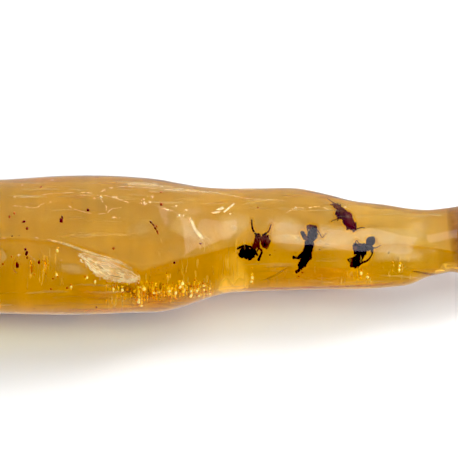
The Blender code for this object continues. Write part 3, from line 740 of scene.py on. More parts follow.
def addStreak(heap, places, widths, depth=1.0, strength=1.0, columns=7, steps=5):
    path = smoothPath([(p[0], p[1], w) for p, w in zip(places, widths)], steps)
    points, fades = [], []
    for i, (x, y, wide) in enumerate(path):
        ahead = path[min(i + 1, len(path) - 1)] - path[max(i - 1, 0)]
        side = np.array((-ahead[1], ahead[0])) / (np.hypot(ahead[0], ahead[1]) + 1e-9)
        end = min(1.0, 4 * i / (len(path) - 1), 4 * (1 - i / (len(path) - 1)))
        for j in range(columns):
            c = 2 * j / (columns - 1) - 1
            points.append(inside(x + side[0] * wide / 2 * c, y + side[1] * wide / 2 * c, depth))
            fades.append(strength * (1 - c * c) * end)
    faces = []
    for i in range(len(path) - 1):
        for j in range(columns - 1):
            k = i * columns + j
            faces.append((k, k + 1, k + columns + 1, k + columns))
    heap.add(points, faces, fades)


# A solid bit sealed in the resin, of one colour broken up by a little noise. Flash gives it a painted glow, an
# emission in its lighter colour.
def bitMaterial(name, dark, light, roughness, flash=0.0, scale=1500.0):
    made, tree, shader = newMaterial(name)
    place = addNode(tree, "ShaderNodeTexCoord")
    patches = addNode(tree, "ShaderNodeTexNoise", {"Scale": scale, "Detail": 2.0},
        {"Vector": place.outputs["Object"]})
    sharp = addNode(tree, "ShaderNodeMapRange", {"From Min": 0.38, "From Max": 0.62},
        {"Value": patches.outputs["Fac"]})
    colour = addNode(tree, "ShaderNodeMix", {"data_type": "RGBA"}, {"Factor": sharp.outputs["Result"]})
    colour.inputs[6].default_value = hexColour(dark)
    colour.inputs[7].default_value = hexColour(light)
    tree.links.new(colour.outputs[2], shader.inputs["Base Color"])
    shader.inputs["Roughness"].default_value = roughness
    shader.inputs["Emission Color"].default_value = hexColour(light)
    shader.inputs["Emission Strength"].default_value = flash
    shader.inputs["Specular IOR Level"].default_value = 0.15
    return made


# A veil in the resin, thin and without an edge: it fades by its own point attribute and is torn by a noise. Flash
# gives it a painted glow in its own colour.
def veilMaterial(name, colour, cover, scale, torn, flash=0.0):
    made, tree, shader = newMaterial(name)
    place = addNode(tree, "ShaderNodeTexCoord")
    shader.inputs["Base Color"].default_value = hexColour(colour)
    shader.inputs["Roughness"].default_value = 0.6
    shader.inputs["Specular IOR Level"].default_value = 0.0
    shader.inputs["Emission Color"].default_value = hexColour(colour)
    shader.inputs["Emission Strength"].default_value = flash
    stretch = addNode(tree, "ShaderNodeMapping", {"Scale": scale}, {"Vector": place.outputs["Object"]})
    cloud = addNode(tree, "ShaderNodeTexNoise", {"Scale": 1.0, "Detail": 4.0}, {"Vector": stretch.outputs["Vector"]})
    tear = addNode(tree, "ShaderNodeMapRange", {"From Min": 0.35, "From Max": 0.65, "To Min": 1.0 - torn},
        {"Value": cloud.outputs["Fac"]})
    fade = addNode(tree, "ShaderNodeAttribute", {"attribute_name": "fade"})
    thin = addNode(tree, "ShaderNodeMath", {"operation": "MULTIPLY"},
        {0: fade.outputs["Fac"], 1: tear.outputs["Result"]})
    alpha = addNode(tree, "ShaderNodeMath", {"operation": "MULTIPLY", 1: cover, "use_clamp": True},
        {0: thin.outputs[0]})
    tree.links.new(alpha.outputs[0], shader.inputs["Alpha"])
    return made


# Bark dust and droppings that fell in while the resin ran: dark red-brown crumbs.
barkCrumb = bitMaterial("barkCrumb", "4A0E02", "8C2C04", 0.6)
# Small rusty stains of plant sap, lighter than the crumbs.
rustCrumb = bitMaterial("rustCrumb", "A04408", "CC6C18", 0.6)
# Air in hair-fine crack lines turns the light back like silver: that light is painted in, as a pale cream colour with
# a faint painted glow. The same look paints the glints on cleavage planes, the bright crescent ridge and the light
# line along the bottom edge.
crackAndGlint = bitMaterial("crackAndGlint", "E6BE78", "FFF2D0", 0.5, 0.12)
# Flat pressed bubbles near the old skin flash like gold leaf. They glow a little, to stand for the light they catch.
goldFlash = bitMaterial("goldFlash", "FFC010", "FFE048", 0.3, 0.2)
# Painted shade: the same bubbles turned away from the light, in a darker copy like brown glass, with a fainter
# painted glow.
amberFlash = bitMaterial("amberFlash", "C87C00", "F0A818", 0.35, 0.1)
# Painted glints: the few that face the light squarely, painted as bright as foil, with the strongest painted glow.
goldSpark = bitMaterial("goldSpark", "FFE05A", "FFF2A0", 0.3, 0.45)

# Milky resin: a cloud of water droplets too small to see, that thins out of the clear gold.
milkVeil = veilMaterial("milkVeil", "FFE29A", 0.23, (180, 420, 420), 0.3)
# Pale haze under the polish, cream and nearly without an edge: partly fine bubbles lying close together, and partly
# painted reflection where the softboxes are mirrored in the window and on the crescent ridge, with a faint painted
# glow.
paleVeil = veilMaterial("paleVeil", "FFECC0", 0.62, (900, 900, 900), 0.45, 0.06)
# A deeper orange in soft streaks: partly older resin that a later run flowed over, and partly painted shade in the
# upright ribs, along the top and bottom edges and behind the gold flashes, with a faint painted glow.
amberFlowAndShadeVeil = veilMaterial("amberFlowAndShadeVeil", "E07C08", 0.7, (420, 1500, 1500), 0.6, 0.14)
# Painted shade in brown: laid in folds, between the gold flashes, along the top and bottom edges and at the narrow
# right end, with a faint painted glow.
brownShadeVeil = veilMaterial("brownShadeVeil", "7C3A04", 0.8, (900, 1600, 1600), 0.5, 0.05)
# Painted light: the bright patch that the curved far side gathers, like the one behind a glass of tea, painted warm
# yellow with an emission glow; the lighter upright ribs use it too.
glowVeil = veilMaterial("glowVeil", "FFD050", 0.8, (500, 500, 500), 0.3, 0.4)

# across, down, width, height, turn, depth
crumbs = {
    "tearDrop": (61.3, 220.3, 3.2, 5.0, 10, 1.2), "tearTip": (62.2, 217.3, 1.7, 3.4, 20, 1.2),
    "besideIt": (24.2, 221.6, 3.4, 2.4, 10, 1.4),
    "underIt": (27.2, 228.5, 2.8, 2.6, 0, 1.4), "hangingTip": (25.4, 249.2, 2.4, 2.6, 20, 1.0),
    "hangingLobe": (26.6, 253.2, 2.6, 4.2, -10, 1.0),
    "hangingDrip": (27.2, 257.6, 1.4, 2.6, 0, 1.0), "lowRed": (17.4, 265.8, 3.4, 4.6, 8, 1.0),
    "lowRedTail": (16.8, 263.0, 1.8, 2.4, 0, 1.0),
    "sapBrown": (39.0, 262.2, 2.2, 3.6, -10, 1.2), "blackBit": (200.6, 243.6, 2.8, 1.6, 10, 1.6),
    "dustBit": (200.9, 235.4, 1.8, 1.4, 0, 1.6),
    "roundBit": (174.3, 262.6, 2.2, 2.4, 0, 1.5), "nearCrack": (88.0, 210.0, 2.4, 3.2, 20, 1.0),
    "highBit": (258.0, 207.3, 1.8, 1.4, 0, 1.0),
    "rodTop": (151.0, 222.2, 2.2, 3.2, 30, 1.3), "rodUpper": (153.2, 224.8, 1.8, 3.2, 40, 1.3),
    "rodLower": (155.2, 228.0, 2.0, 3.4, 25, 1.3),
    "rodEnd": (157.3, 231.4, 1.7, 3.2, 10, 1.3), "floatBit": (270.0, 255.0, 1.8, 1.5, 0, 1.6),
    "neckBit": (319.5, 249.6, 1.6, 1.3, 0, 1.6),
    "lowDot": (96.5, 307.2, 2.0, 2.0, 0, 0.6), "tinyLeft": (12.2, 236.0, 1.8, 1.2, 0, 1.4),
    "highLeft": (117.0, 182.4, 2.2, 1.4, 0, 0.4),
}
rustBits = {
    "pairLeft": (22.4, 222.0, 1.8, 1.6, 0, 1.4), "farLeft": (14.4, 213.2, 1.8, 3.0, 30, 1.4),
    "farLeftLow": (9.6, 216.8, 2.0, 3.2, 0, 1.4),
    "edgeOne": (3.0, 264.0, 2.0, 2.6, 0, 1.0), "edgeTwo": (11.5, 256.5, 1.6, 1.8, 0, 1.0),
    "topBrown": (161.2, 192.0, 2.6, 2.0, 10, 0.8),
    "topBrownTwo": (161.2, 204.2, 3.0, 2.8, 40, 0.9), "topBrownThree": (97.0, 177.2, 4.4, 1.4, 4, 0.3),
    "leftHigh": (41.0, 187.0, 2.6, 2.4, 20, 0.6),
    "lowOne": (53.0, 278.5, 2.0, 1.6, 0, 0.9), "lowTwo": (67.0, 288.0, 2.4, 1.8, 20, 0.9),
    "lowThree": (51.0, 289.0, 2.2, 1.8, 0, 0.9),
    "belowAnt": (299.0, 276.5, 1.6, 2.4, 60, 1.2), "belowAntTwo": (302.5, 272.5, 1.4, 2.6, 60, 1.2),
    "middle": (113.5, 248.5, 2.6, 2.6, 0, 1.8),
    "nearPatch": (194.5, 188.0, 2.6, 1.4, 0, 0.4), "rodSide": (156.6, 226.0, 1.6, 2.4, 10, 1.3),
    "rodFoot": (158.2, 233.4, 1.6, 1.8, 0, 1.3),
}

crumbShape = {"depthShare": 0.5, "rough": 0.5}

dust = {"seed": 4, "howMany": 150, "across": (4, 452), "down": (182, 312), "size": (0.7, 1.5), "depth": (0.6, 3.5)}

# each crack, or painted line of light, is a line of places, with its width, how broken it is and its depth
cracksAndGlints = {
    "topLeft": (((12, 206), (22, 206.5), (35, 207.8), (39, 206), (42, 204), (49, 202.6), (56, 201)), 0.9, 0.25, 0.6),
    "topMiddle": (((64, 203), (69, 206.5), (74, 209), (79, 210.8), (88, 213), (98, 213.8), (107, 213.6)), 1.1, 0.2,
        0.6),
    "rise": (((107, 213.6), (109.5, 210.5), (113, 208.8), (122, 208)), 0.9, 0.25, 0.6),
    "hook": (((106, 211), (106.2, 207), (103.5, 203.5), (101.5, 200), (100.6, 196), (103, 195), (112, 197.4),
        (119, 199)), 1.1, 0.25, 0.6),
    "hookTail": (((112, 197), (118, 198.8), (124, 201), (130, 203)), 0.9, 0.3, 0.6),
    "longTop": (((20, 197.5), (45, 194.5), (64, 193.2), (80, 192.4), (92, 193)), 0.9, 0.3, 0.5),
    "longTopTwo": (((98, 193.5), (104, 190), (112, 187.6), (124, 186.6), (140, 187), (160, 189.3), (178, 190.3)),
        1.0, 0.2, 0.5),
    "rightTop": (((184, 190.4), (198, 190.6), (212, 192), (226, 194.6), (240, 197), (252, 199)), 1.0, 0.2, 0.6),
    "facetLine": (((252, 199), (268, 199.5), (282, 200.4), (290, 203), (295.5, 208)), 0.9, 0.25, 0.6),
    "starLeft": (((286, 213.2), (290, 211), (296, 207.6), (301, 207.6), (306, 208.6)), 1.0, 0.15, 0.6),
    "starRight": (((308, 208), (313, 207.2), (320, 206.4), (326, 208.6), (331, 210)), 1.0, 0.2, 0.6),
    "farWisp": (((342, 207), (349, 209), (356, 212), (362, 213)), 0.9, 0.3, 0.6),
    "leftRim": (((0, 238.5), (8, 237.8), (20, 237.4), (34, 237.8), (46, 239.6), (58, 242)), 1.0, 0.25, 0.7),
    "featherRim": (((48, 240), (58, 241.8), (68, 244.6), (80, 249), (96, 254.2), (112, 258), (124, 263), (134, 270),
        (140, 276)), 1.0, 0.05, 0.9),
    "lowArm": (((60, 260), (68, 259.6), (78, 261), (86, 263.6), (92, 268)), 0.8, 0.15, 0.9),
    "lowThread": (((27, 253), (32, 257.4), (37, 262)), 0.6, 0.1, 0.9),
    # painted highlight: the thin light lines along the bottom edge
    "bottomLine": (((6, 312.4), (20, 312.6), (34, 313), (50, 313), (64, 312.6)), 1.2, 0.35, 0.3),
    "bottomRight": (((178, 306.4), (188, 303.6), (198, 300.4), (210, 296.6)), 0.8, 0.4, 0.35),
    "wing": (((150, 210), (158, 209), (166, 208.2), (172, 206.5), (178, 205.4)), 0.8, 0.3, 0.8),
    "wingTwo": (((176, 215.6), (181, 216.8), (186, 214)), 0.8, 0.3, 0.8),
    # painted highlight on the bright crescent ridge
    "ridge": (((190.4, 217.6), (191.6, 222), (194, 227.4), (198, 232.4), (201.5, 237)), 1.6, 0.0, 0.5),
}
# Pale flecks drawn in the crack look: some are crazing, and some are painted glints, such as the three along the
# bottom edge.
flecks = {
    "seed": 7,
    # across, down, width, height, turn
    "places": [
        (83, 192.6, 3.4, 1.0, 0), (88, 192.8, 3.0, 1.2, 6), (101, 197, 2.6, 2.6, 40), (115, 197.2, 4.0, 1.8, -10),
        (104, 190, 3.0, 1.2, 12),
        (111, 188, 3.0, 1.0, 10), (94.5, 198.2, 2.0, 1.6, 0), (152, 196.6, 3.2, 2.0, -20),
        (143.6, 199.6, 2.4, 1.6, 20), (144, 203.6, 2.6, 3.0, 0),
        (150, 202, 2.4, 1.2, 0), (141, 203, 1.6, 1.2, 0), (176, 206, 2.8, 1.4, 20), (167, 210, 4.2, 1.4, 6),
        (186, 210, 2.0, 1.2, 0),
        (183.5, 215.5, 1.8, 1.2, 0), (179, 215.6, 2.0, 1.4, 0), (155, 183, 5.0, 0.9, 4), (162, 186.8, 2.2, 1.4, 0),
        (25, 180, 3.4, 1.0, 0),
        (52, 180, 3.4, 1.2, 10), (22, 185, 2.4, 1.0, 0), (114, 217.6, 4.0, 1.4, 10), (345, 207, 3.2, 1.3, 12),
        (296, 207.6, 2.4, 1.6, 0),
        (14.6, 197, 2.4, 1.0, 0), (181, 188.6, 5.0, 1.4, 6), (46.6, 312, 2.6, 1.4, 0), (50.4, 313, 2.6, 1.2, 0),
        (62.4, 312.6, 2.2, 1.2, 0),
        (18.6, 255.0, 2.2, 1.0, 10), (230, 214.0, 2.0, 1.2, 30), (190, 220, 1.8, 4.0, -6),
    ],
}
# painted glints: broad flashes of light on cleavage planes, drawn as thin cream plates with a faint glow
shards = {  # broad cleavage flashes
    "triangle": ((216, 209.6), (222.6, 206.2), (224.6, 208.6), (220, 210.4)),
    "bar": ((211, 212.4), (216, 211.0), (222, 210.8), (219, 213.0), (213, 213.6)),
    "line": ((223.4, 211.8), (228, 207.4), (233.6, 203.0), (235.0, 204.0), (229.6, 208.6), (224.6, 212.8)),
}
feather = {
    "seed": 11, "strands": 150, "depth": (0.7, 1.3), "thick": (0.35, 0.9),
    # the edge that the streaks follow, and the jagged one below it
    "upper": [(76, 251.5), (86, 253.5), (98, 257.0), (110, 260.6), (121, 265.4), (130, 270.2), (137, 274.6),
        (140.6, 278.0)],
    "lower": [(79, 256.5), (86, 262.5), (92, 270.5), (97, 275.2), (106, 279.6), (117, 281.6), (129, 282.8),
        (139, 283.0)],
}
pleats = {  # gold flashes that stand in upright rows along the low edge: across, top, bottom, how many, size
    "seed": 5, "depth": (0.5, 1.6), "lean": 0.02,
    "loose": 170, "looseAcross": (106, 214), "looseDown": (281, 301),
    "rows": [
        (113, 286, 291, 3, 1.1), (118, 284, 290, 3, 1.2), (122, 287, 294, 4, 1.3), (127, 285, 292, 3, 1.0),
        (131, 288, 296, 4, 1.1),
        (135, 289, 300, 6, 1.3), (138.5, 285, 306, 12, 1.6), (141.5, 288, 303, 9, 1.5), (144.2, 287, 300, 8, 1.4),
        (147.5, 292, 302, 4, 1.0),
        (152.4, 283, 298, 7, 1.1), (156, 284, 300, 8, 1.0), (160, 288, 300, 4, 0.9), (164, 286, 297, 4, 1.0),
        (168.5, 287, 296, 6, 1.5),
        (171.5, 289, 300, 5, 1.1), (175.6, 286, 298, 8, 1.5), (179.6, 282, 296, 9, 1.4), (182.6, 281, 295, 9, 1.5),
        (186.6, 284, 294, 6, 1.1),
        (191.2, 286, 297, 8, 1.7), (194.2, 280, 292, 7, 1.2), (197.8, 284, 297, 9, 1.5), (200.6, 290, 298, 4, 1.2),
        (203.6, 283, 299, 9, 1.5),
        (206.6, 287, 295, 4, 1.0), (209.6, 288, 297, 6, 1.3), (213.0, 291, 296, 3, 1.0), (252.2, 275, 283, 5, 1.3),
        (251.4, 268, 274, 2, 0.9),
        (361.0, 270, 278, 5, 1.1), (367.4, 274, 279, 3, 1.1), (357.4, 268, 280, 4, 0.7), (399.4, 264, 272, 5, 1.2),
        (393.0, 262, 270, 3, 0.8),
        (30.6, 260, 276, 6, 0.9), (33.6, 262, 274, 4, 0.8), (45.2, 260, 274, 6, 0.9), (47.6, 257, 270, 4, 0.8),
        (57.2, 248, 252, 3, 1.3),
        (71.0, 285, 289, 2, 1.1), (56.4, 274, 276, 2, 1.4), (95.0, 280, 283, 2, 1.1), (86.0, 276.6, 278, 3, 1.6),
        (104.5, 283, 286, 2, 1.0),
    ],
    "sparks": [(138.6, 302.4, 2.8), (139.4, 299.8, 2.0), (144.0, 289.2, 2.4), (182.6, 283.6, 2.6),
        (180.2, 287.2, 2.4), (175.8, 293.0, 2.2),
        (191.0, 291.2, 2.2), (191.2, 295.6, 2.8), (197.2, 291.0, 2.4), (198.6, 296.2, 2.4), (203.6, 286.0, 1.8),
        (204.0, 290.2, 1.8),
        (203.4, 299.2, 2.2), (209.6, 293.8, 2.0), (252.4, 277.6, 2.2), (251.6, 281.6, 2.2), (169.4, 291.0, 2.4),
        (57.2, 250.4, 2.0),
        (122.4, 290.0, 2.4), (113.6, 289.0, 2.0), (141.6, 306.0, 2.0), (154.0, 293.0, 1.8), (361.0, 273.2, 2.2),
        (367.6, 277.0, 2.0),
        (399.6, 266.0, 2.0), (399.2, 270.0, 2.0), (87.0, 277.6, 2.0), (95.2, 281.6, 1.8), (71.2, 287.0, 1.8),
        (56.6, 275.0, 1.8)],
}
veils = {
    "pale": {
        "patches": [
            (((166, 219), (176, 212), (188, 214), (196, 222), (203, 236), (214, 240), (204, 244), (188, 242),
                (176, 236), (167, 229)), 0.9, 0.55),
            (((80, 255), (94, 256), (110, 261), (126, 268), (139, 277), (138, 283), (118, 281), (104, 279),
                (95, 275), (90, 267)), 1.0, 1.1),
            (((56, 264), (66, 262), (78, 263), (88, 268), (92, 274), (80, 276), (66, 274), (56, 270)), 1.0, 0.5),
            (((126, 227), (138, 220), (152, 219), (158, 226), (150, 236), (136, 240), (124, 236)), 1.4, 0.32),
            (((0, 246), (4, 250), (8, 256), (5, 262), (0, 264)), 0.9, 0.6),
            (((112, 184), (134, 180), (160, 182), (190, 187), (216, 192), (196, 196), (160, 191), (130, 189)), 0.5,
                0.45),
            (((366, 256), (370, 248), (380, 243), (396, 242), (412, 246), (422, 252), (428, 260), (412, 263),
                (392, 263), (374, 262)), 0.7, 0.55),
            # painted reflections: these four patches lie where the softboxes are mirrored in the window
            (((262, 224), (270, 216), (284, 214), (298, 217), (304, 226), (302, 238), (288, 241), (270, 237)), 0.7,
                0.55),
            (((266, 234), (284, 234), (306, 234), (318, 224), (336, 226), (354, 227), (362, 238), (352, 249),
                (326, 251), (298, 252), (276, 247)), 0.7, 0.6, 0.7),
            (((348, 238), (354, 228), (376, 227), (400, 228), (418, 229), (428, 237), (412, 247), (384, 249),
                (356, 250)), 0.7, 0.42, 0.7),
            (((216, 214), (236, 211), (252, 216), (262, 222), (248, 230), (236, 241), (222, 243), (214, 230)), 0.7,
                0.6),
        ],
        "streaks": [
            (((118, 185), (134, 183.6), (150, 184.4), (168, 187)), (2, 4, 4, 2), 0.4, 0.8),
            # painted highlight along the bright crescent ridge
            (((190.4, 216), (192, 222), (195, 229), (200, 235.4), (204, 240)), (2.4, 3.6, 4.4, 5.0, 3.4), 0.4, 1.3),
            (((48, 240.6), (64, 243.6), (82, 250), (100, 256), (122, 263.6), (138, 275)),
                (2.6, 3.4, 3.6, 3.6, 3.4, 2.6), 0.8, 0.9),
            (((76, 292), (110, 297), (128, 302), (134, 306)), (3, 6, 6, 3), 0.7, 0.15),
            (((160, 189.6), (190, 190.4), (222, 194)), (2, 2.6, 2), 0.5, 0.7),
        ],
    },
    # part real flow colour, part painted shade along the edges and behind the gold flashes
    "amber": {
        "patches": [
            (((112, 290), (134, 287), (150, 288), (176, 290), (200, 289), (212, 293), (190, 302), (166, 309),
                (140, 311), (126, 306)), 1.2, 0.8),
            (((250, 270), (290, 262), (340, 266), (390, 262), (404, 268), (380, 283), (320, 287), (262, 288)), 1.3,
                0.55),
            (((70, 280), (100, 286), (124, 294), (110, 301), (84, 298), (66, 290)), 1.1, 0.5),
        ],
        "streaks": [
            (((8, 182), (30, 180.4), (52, 180.2), (78, 180.6)), (3, 5, 5, 3), 0.35, 0.5),
            (((60, 309.6), (90, 310.4), (120, 309.4), (150, 307)), (3, 4.6, 4.6, 3), 0.4, 0.9),
            (((226, 289), (270, 288.6), (330, 286.6), (380, 284.6), (404, 280)), (2, 3, 3, 3, 2), 0.4, 0.9),
            (((30.6, 256), (31.4, 266), (31.8, 276)), (2.4, 3.4, 2.4), 0.8, 1.2),
            (((45.0, 256), (45.8, 266), (46.0, 275)), (2.4, 3.4, 2.4), 0.8, 1.2),
            (((17, 256), (14, 262), (14, 270), (18, 274)), (1.6, 2.2, 2.2, 1.6), 0.9, 1.0),
        ],
    },
    # painted shade along the edges, in folds and at the narrow right end
    "brown": {
        "patches": [
            (((104, 284), (116, 282), (130, 285), (139, 291), (138, 299), (130, 294), (116, 291)), 1.1, 0.9),
            (((446, 204), (458, 203), (470, 206), (470, 262), (456, 262), (450, 248), (447, 226)), 0.9, 0.75, 0.8),
        ],
        "streaks": [
            (((2, 179.4), (40, 176.6), (90, 175.6), (140, 177.6), (170, 182), (200, 187)),
                (1.4, 1.8, 1.8, 2.2, 2.8, 1.6), 0.25, 1.0),
            (((296, 190), (320, 193.6), (350, 200.4), (400, 208)), (1.4, 1.8, 1.8, 1.4), 0.25, 0.8),
            (((161, 282), (160.4, 287), (161.6, 291)), (2, 3.4, 2), 1.0, 1.0),
            (((148, 286), (148.8, 293), (149, 300)), (1.6, 2.6, 1.8), 1.0, 0.9),
            (((188.6, 283), (188.8, 290), (188.6, 297)), (1.4, 1.8, 1.2), 1.0, 0.8),
            (((406, 270), (420, 272.4), (436, 274.6), (452, 273.4)), (1.6, 2.4, 2.6, 1.6), 0.4, 1.1),
            (((262, 281.0), (276, 274.6), (290, 266)), (1.4, 2.0, 1.4), 1.0, 0.7),
            (((250, 289.6), (300, 288.6), (360, 286.6), (396, 284)), (1.2, 1.6, 1.6, 1.2), 0.25, 0.3),
        ],
    },
    # painted light: warm glowing patches where the curved far side gathers light
    "glow": {
        "patches": [
            (((212, 294), (216, 280), (226, 272), (236, 280), (238, 293), (226, 299)), 0.8, 0.85),
            (((226, 292), (230, 276), (240, 268), (251, 276), (249, 290), (238, 296)), 0.8, 0.8),
            (((222, 262), (230, 250), (244, 250), (250, 264), (244, 286), (230, 288)), 0.9, 0.4),
            (((436, 270), (440, 263), (450, 261), (462, 263), (462, 271), (448, 273)), 0.7, 0.55),
        ],
        "streaks": [
            (((212, 291), (226, 288.4), (240, 288), (250, 285.6)), (3, 5, 5, 3), 0.7, 0.8),
            (((434, 271.6), (440, 270.6), (447, 271)), (1.6, 2.2, 1.6), 0.4, 1.5),
            (((453, 268.6), (460, 267.6)), (1.8, 1.8), 0.4, 1.5),
        ],
    },
}


milk = {  # the milky part of the resin, between two edges: across, down, how strong
    "depth": 1.5, "columns": 380, "rows": 52,
    "upper": [(-8, 182, 0.9), (60, 178, 1.0), (120, 178.5, 1.0), (160, 183, 1.0), (200, 188.5, 1.0), (240, 191, 1.0),
        (300, 191.5, 0.9), (340, 201, 1.0),
              (380, 207.5, 1.0), (420, 212, 1.2), (470, 208.5, 1.0)],
    "lower": [(-8, 239), (30, 241), (75, 246), (110, 258), (142, 273), (170, 264), (200, 257), (230, 249),
        (270, 244), (330, 246), (400, 245), (440, 250), (470, 256)],
    "low": [(-8, 310, 0.6), (60, 311, 0.6), (115, 310, 0.2), (140, 308, 0.08), (170, 304, 0.12), (215, 293, 0.3),
        (250, 289, 0.3),
            (300, 287, 0.3), (345, 286, 0.4), (400, 283, 0.3), (430, 273, 0.4), (470, 266, 0.4)],
}


def makeMilk(name, upper, lower, strong, softTop, softEnd):
    heap, points, fades = Heap(), [], []
    upper, lower, strong = np.array(upper), np.array(lower), np.array(strong)
    for px in np.linspace(upper[0, 0], upper[-1, 0], milk["columns"]):
        top, bottom = np.interp(px, upper[:, 0], upper[:, 1]), np.interp(px, lower[:, 0], lower[:, 1])
        strength = np.interp(px, strong[:, 0], strong[:, 2])
        for share in np.linspace(0, 1, milk["rows"]):
            points.append(inside(px, top + (bottom - top) * share, milk["depth"]))
            clear = clearOfAnts(px, top + (bottom - top) * share)
            fades.append(strength * clear * min(1.0, share / softTop) * min(1.0, (1 - share) / softEnd))
    rows = milk["rows"]
    faces = [(i * rows + j, i * rows + j + 1, (i + 1) * rows + j + 1, (i + 1) * rows + j)
             for i in range(milk["columns"] - 1) for j in range(rows - 1)]
    heap.add(points, faces, fades)
    heap.build(name, milkVeil)


def makeCrumbs():
    crumbHeap, rustHeap = Heap(), Heap()
    for *crumb, depth in crumbs.values():
        addGrain(crumbHeap, *crumb, depth * crumbShape["depthShare"], rough=crumbShape["rough"], sides=12, rings=10)
    for *crumb, depth in rustBits.values():
        addGrain(rustHeap, *crumb, depth * crumbShape["depthShare"], rough=crumbShape["rough"], sides=10, rings=8)
    dice = random.Random(dust["seed"])
    for i in range(dust["howMany"]):
        px, py = dice.uniform(*dust["across"]), dice.uniform(*dust["down"])
        wide = dice.uniform(*dust["size"])
        heap = crumbHeap if i % 3 == 0 else rustHeap
        addGrain(heap, px, py, wide * 0.8, wide * 0.6, dice.uniform(0, 180), dice.uniform(*dust["depth"]))
    crumbHeap.build("barkCrumbs", barkCrumb)
    rustHeap.build("sapStains", rustCrumb)


def makeCracksAndGlints():
    heap = Heap()
    for i, (line, thick, broken, depth) in enumerate(cracksAndGlints.values()):
        addThread(heap, line, thick * 0.7, depth, broken=broken, seed=i)
    dice = random.Random(flecks["seed"])
    for px, py, wide, high, turn in flecks["places"]:
        addGrain(heap, px, py, wide, high, turn, 0.6, rough=0.9, sides=9)
        for _ in range(3):
            addGrain(heap, px + dice.gauss(0, wide * 0.7), py + dice.gauss(0, 1.0), wide * 0.35, high * 0.5, turn,
                0.7, sides=5)
    for line in shards.values():
        centre = np.mean(line, axis=0)
        top = [inside(*p, 0.5) for p in line]
        low = [inside(*(centre + (np.array(p) - centre) * 0.7), 0.75) for p in line]
        n = len(line)
        sides = [(i, (i + 1) % n, n + (i + 1) % n, n + i) for i in range(n)]
        heap.add(top + low, [tuple(range(n)), tuple(reversed(range(n, 2 * n))), *sides])
    heap.build("hairCracksAndGlints", crackAndGlint)


def makeFeather():
    heap, dice = Heap(), random.Random(feather["seed"])
    upper = smoothPath([(*p, 0) for p in feather["upper"]], 6)
    lower = smoothPath([(*p, 0) for p in feather["lower"]], 6)
    for _ in range(feather["strands"]):
        level = dice.random() ** 0.75
        first = int(dice.uniform(0, 0.8) * len(upper))
        last = min(len(upper) - 1, first + int(dice.uniform(0.08, 0.32) * len(upper)) + 2)
        depth, places = dice.uniform(*feather["depth"]), []
        for i in range(first, last + 1):
            drift = level + 0.10 * noise.noise(Vector((i * 0.3, level * 9, 0)))
            places.append(upper[i] + (lower[i] - upper[i]) * min(1.0, max(0.0, drift)))
        at = [np.array(inside(p[0], p[1], depth)) for p in places]
        thick = dice.uniform(*feather["thick"]) * pixel / 2
        radii = [thick * (0.25 + math.sin(math.pi * i / (len(at) - 1))) for i in range(len(at))]
        heap.add(*tube(at, radii, 5))
    for i in range(len(lower)):
        for _ in range(3):
            x, y = lower[i][0] + dice.gauss(0, 1.6), lower[i][1] + dice.gauss(-1.2, 1.3)
            addGrain(heap, x, y, dice.uniform(0.8, 2.2), dice.uniform(0.7, 1.5), dice.uniform(-30, 40), 0.8,
                rough=0.8)
    heap.build("featherCrack", crackAndGlint)


def makePleats():
    goldHeap, amberHeap, sparkHeap, dice = Heap(), Heap(), Heap(), random.Random(pleats["seed"])
    for _ in range(pleats["loose"]):
        x, y = dice.uniform(*pleats["looseAcross"]), dice.uniform(*pleats["looseDown"])
        size = dice.uniform(0.7, 1.6)
        heap = dice.choice((goldHeap, amberHeap, amberHeap, sparkHeap) if size < 1.1 else (goldHeap, amberHeap))
        addGrain(heap, x, y, size, size * dice.uniform(1.0, 2.2), dice.uniform(-15, 15),
            dice.uniform(*pleats["depth"]), rough=0.8)
    for px, top, bottom, count, size in pleats["rows"]:
        for i in range(count):
            py = top + (bottom - top) * (i + dice.uniform(-0.3, 0.3)) / max(1, count - 1)
            x = px + dice.gauss(0, 0.5) + pleats["lean"] * (py - top)
            heap = goldHeap if dice.random() < 0.6 else amberHeap
            addGrain(heap, x, py, size * dice.uniform(1.0, 2.0), size * dice.uniform(1.2, 3.0), dice.uniform(-12, 12),
                     dice.uniform(*pleats["depth"]), rough=0.7)
        if count > 3:
            line = [(px + dice.uniform(-0.6, 0.6), top + (bottom - top) * t) for t in (0.1, 0.4, 0.7, 1.0)]
            addThread(goldHeap, line, 0.6, 1.2, 0.2, 0.3, seed=int(px))
    for px, py, size in pleats["sparks"]:
        addGrain(sparkHeap, px, py, size * 1.1, size * 1.4, 0, 0.4, rough=0.8)
    goldHeap.build("goldPleats", goldFlash)
    amberHeap.build("amberPleats", amberFlash)
    sparkHeap.build("goldSparks", goldSpark)


ribs = {  # faint upright streaks, of light and of shade in turn: from, to, top, bottom, how many, strength
    "seed": 21, "width": (1.2, 3.2), "depth": 0.8,
    "areas": [
        (142, 232, 262, 300, 46, 0.5), (104, 150, 280, 308, 22, 0.6), (222, 256, 244, 290, 16, 0.5),
        (338, 374, 256, 284, 18, 0.55),
        (380, 412, 256, 278, 14, 0.5), (24, 64, 252, 284, 20, 0.5), (150, 214, 240, 262, 16, 0.18),
        (262, 336, 256, 286, 18, 0.28),
    ],
    # and the lines of flow that run along the lump
    "flow": [
        (0, 130, 181, 200, 20, 0.5), (130, 260, 185, 204, 16, 0.45), (250, 345, 194, 212, 12, 0.4),
        (0, 120, 205, 236, 10, 0.25),
        (340, 445, 211, 228, 10, 0.4), (250, 420, 258, 284, 14, 0.4), (0, 120, 284, 310, 14, 0.45),
        (130, 200, 298, 310, 8, 0.5),
    ],
}


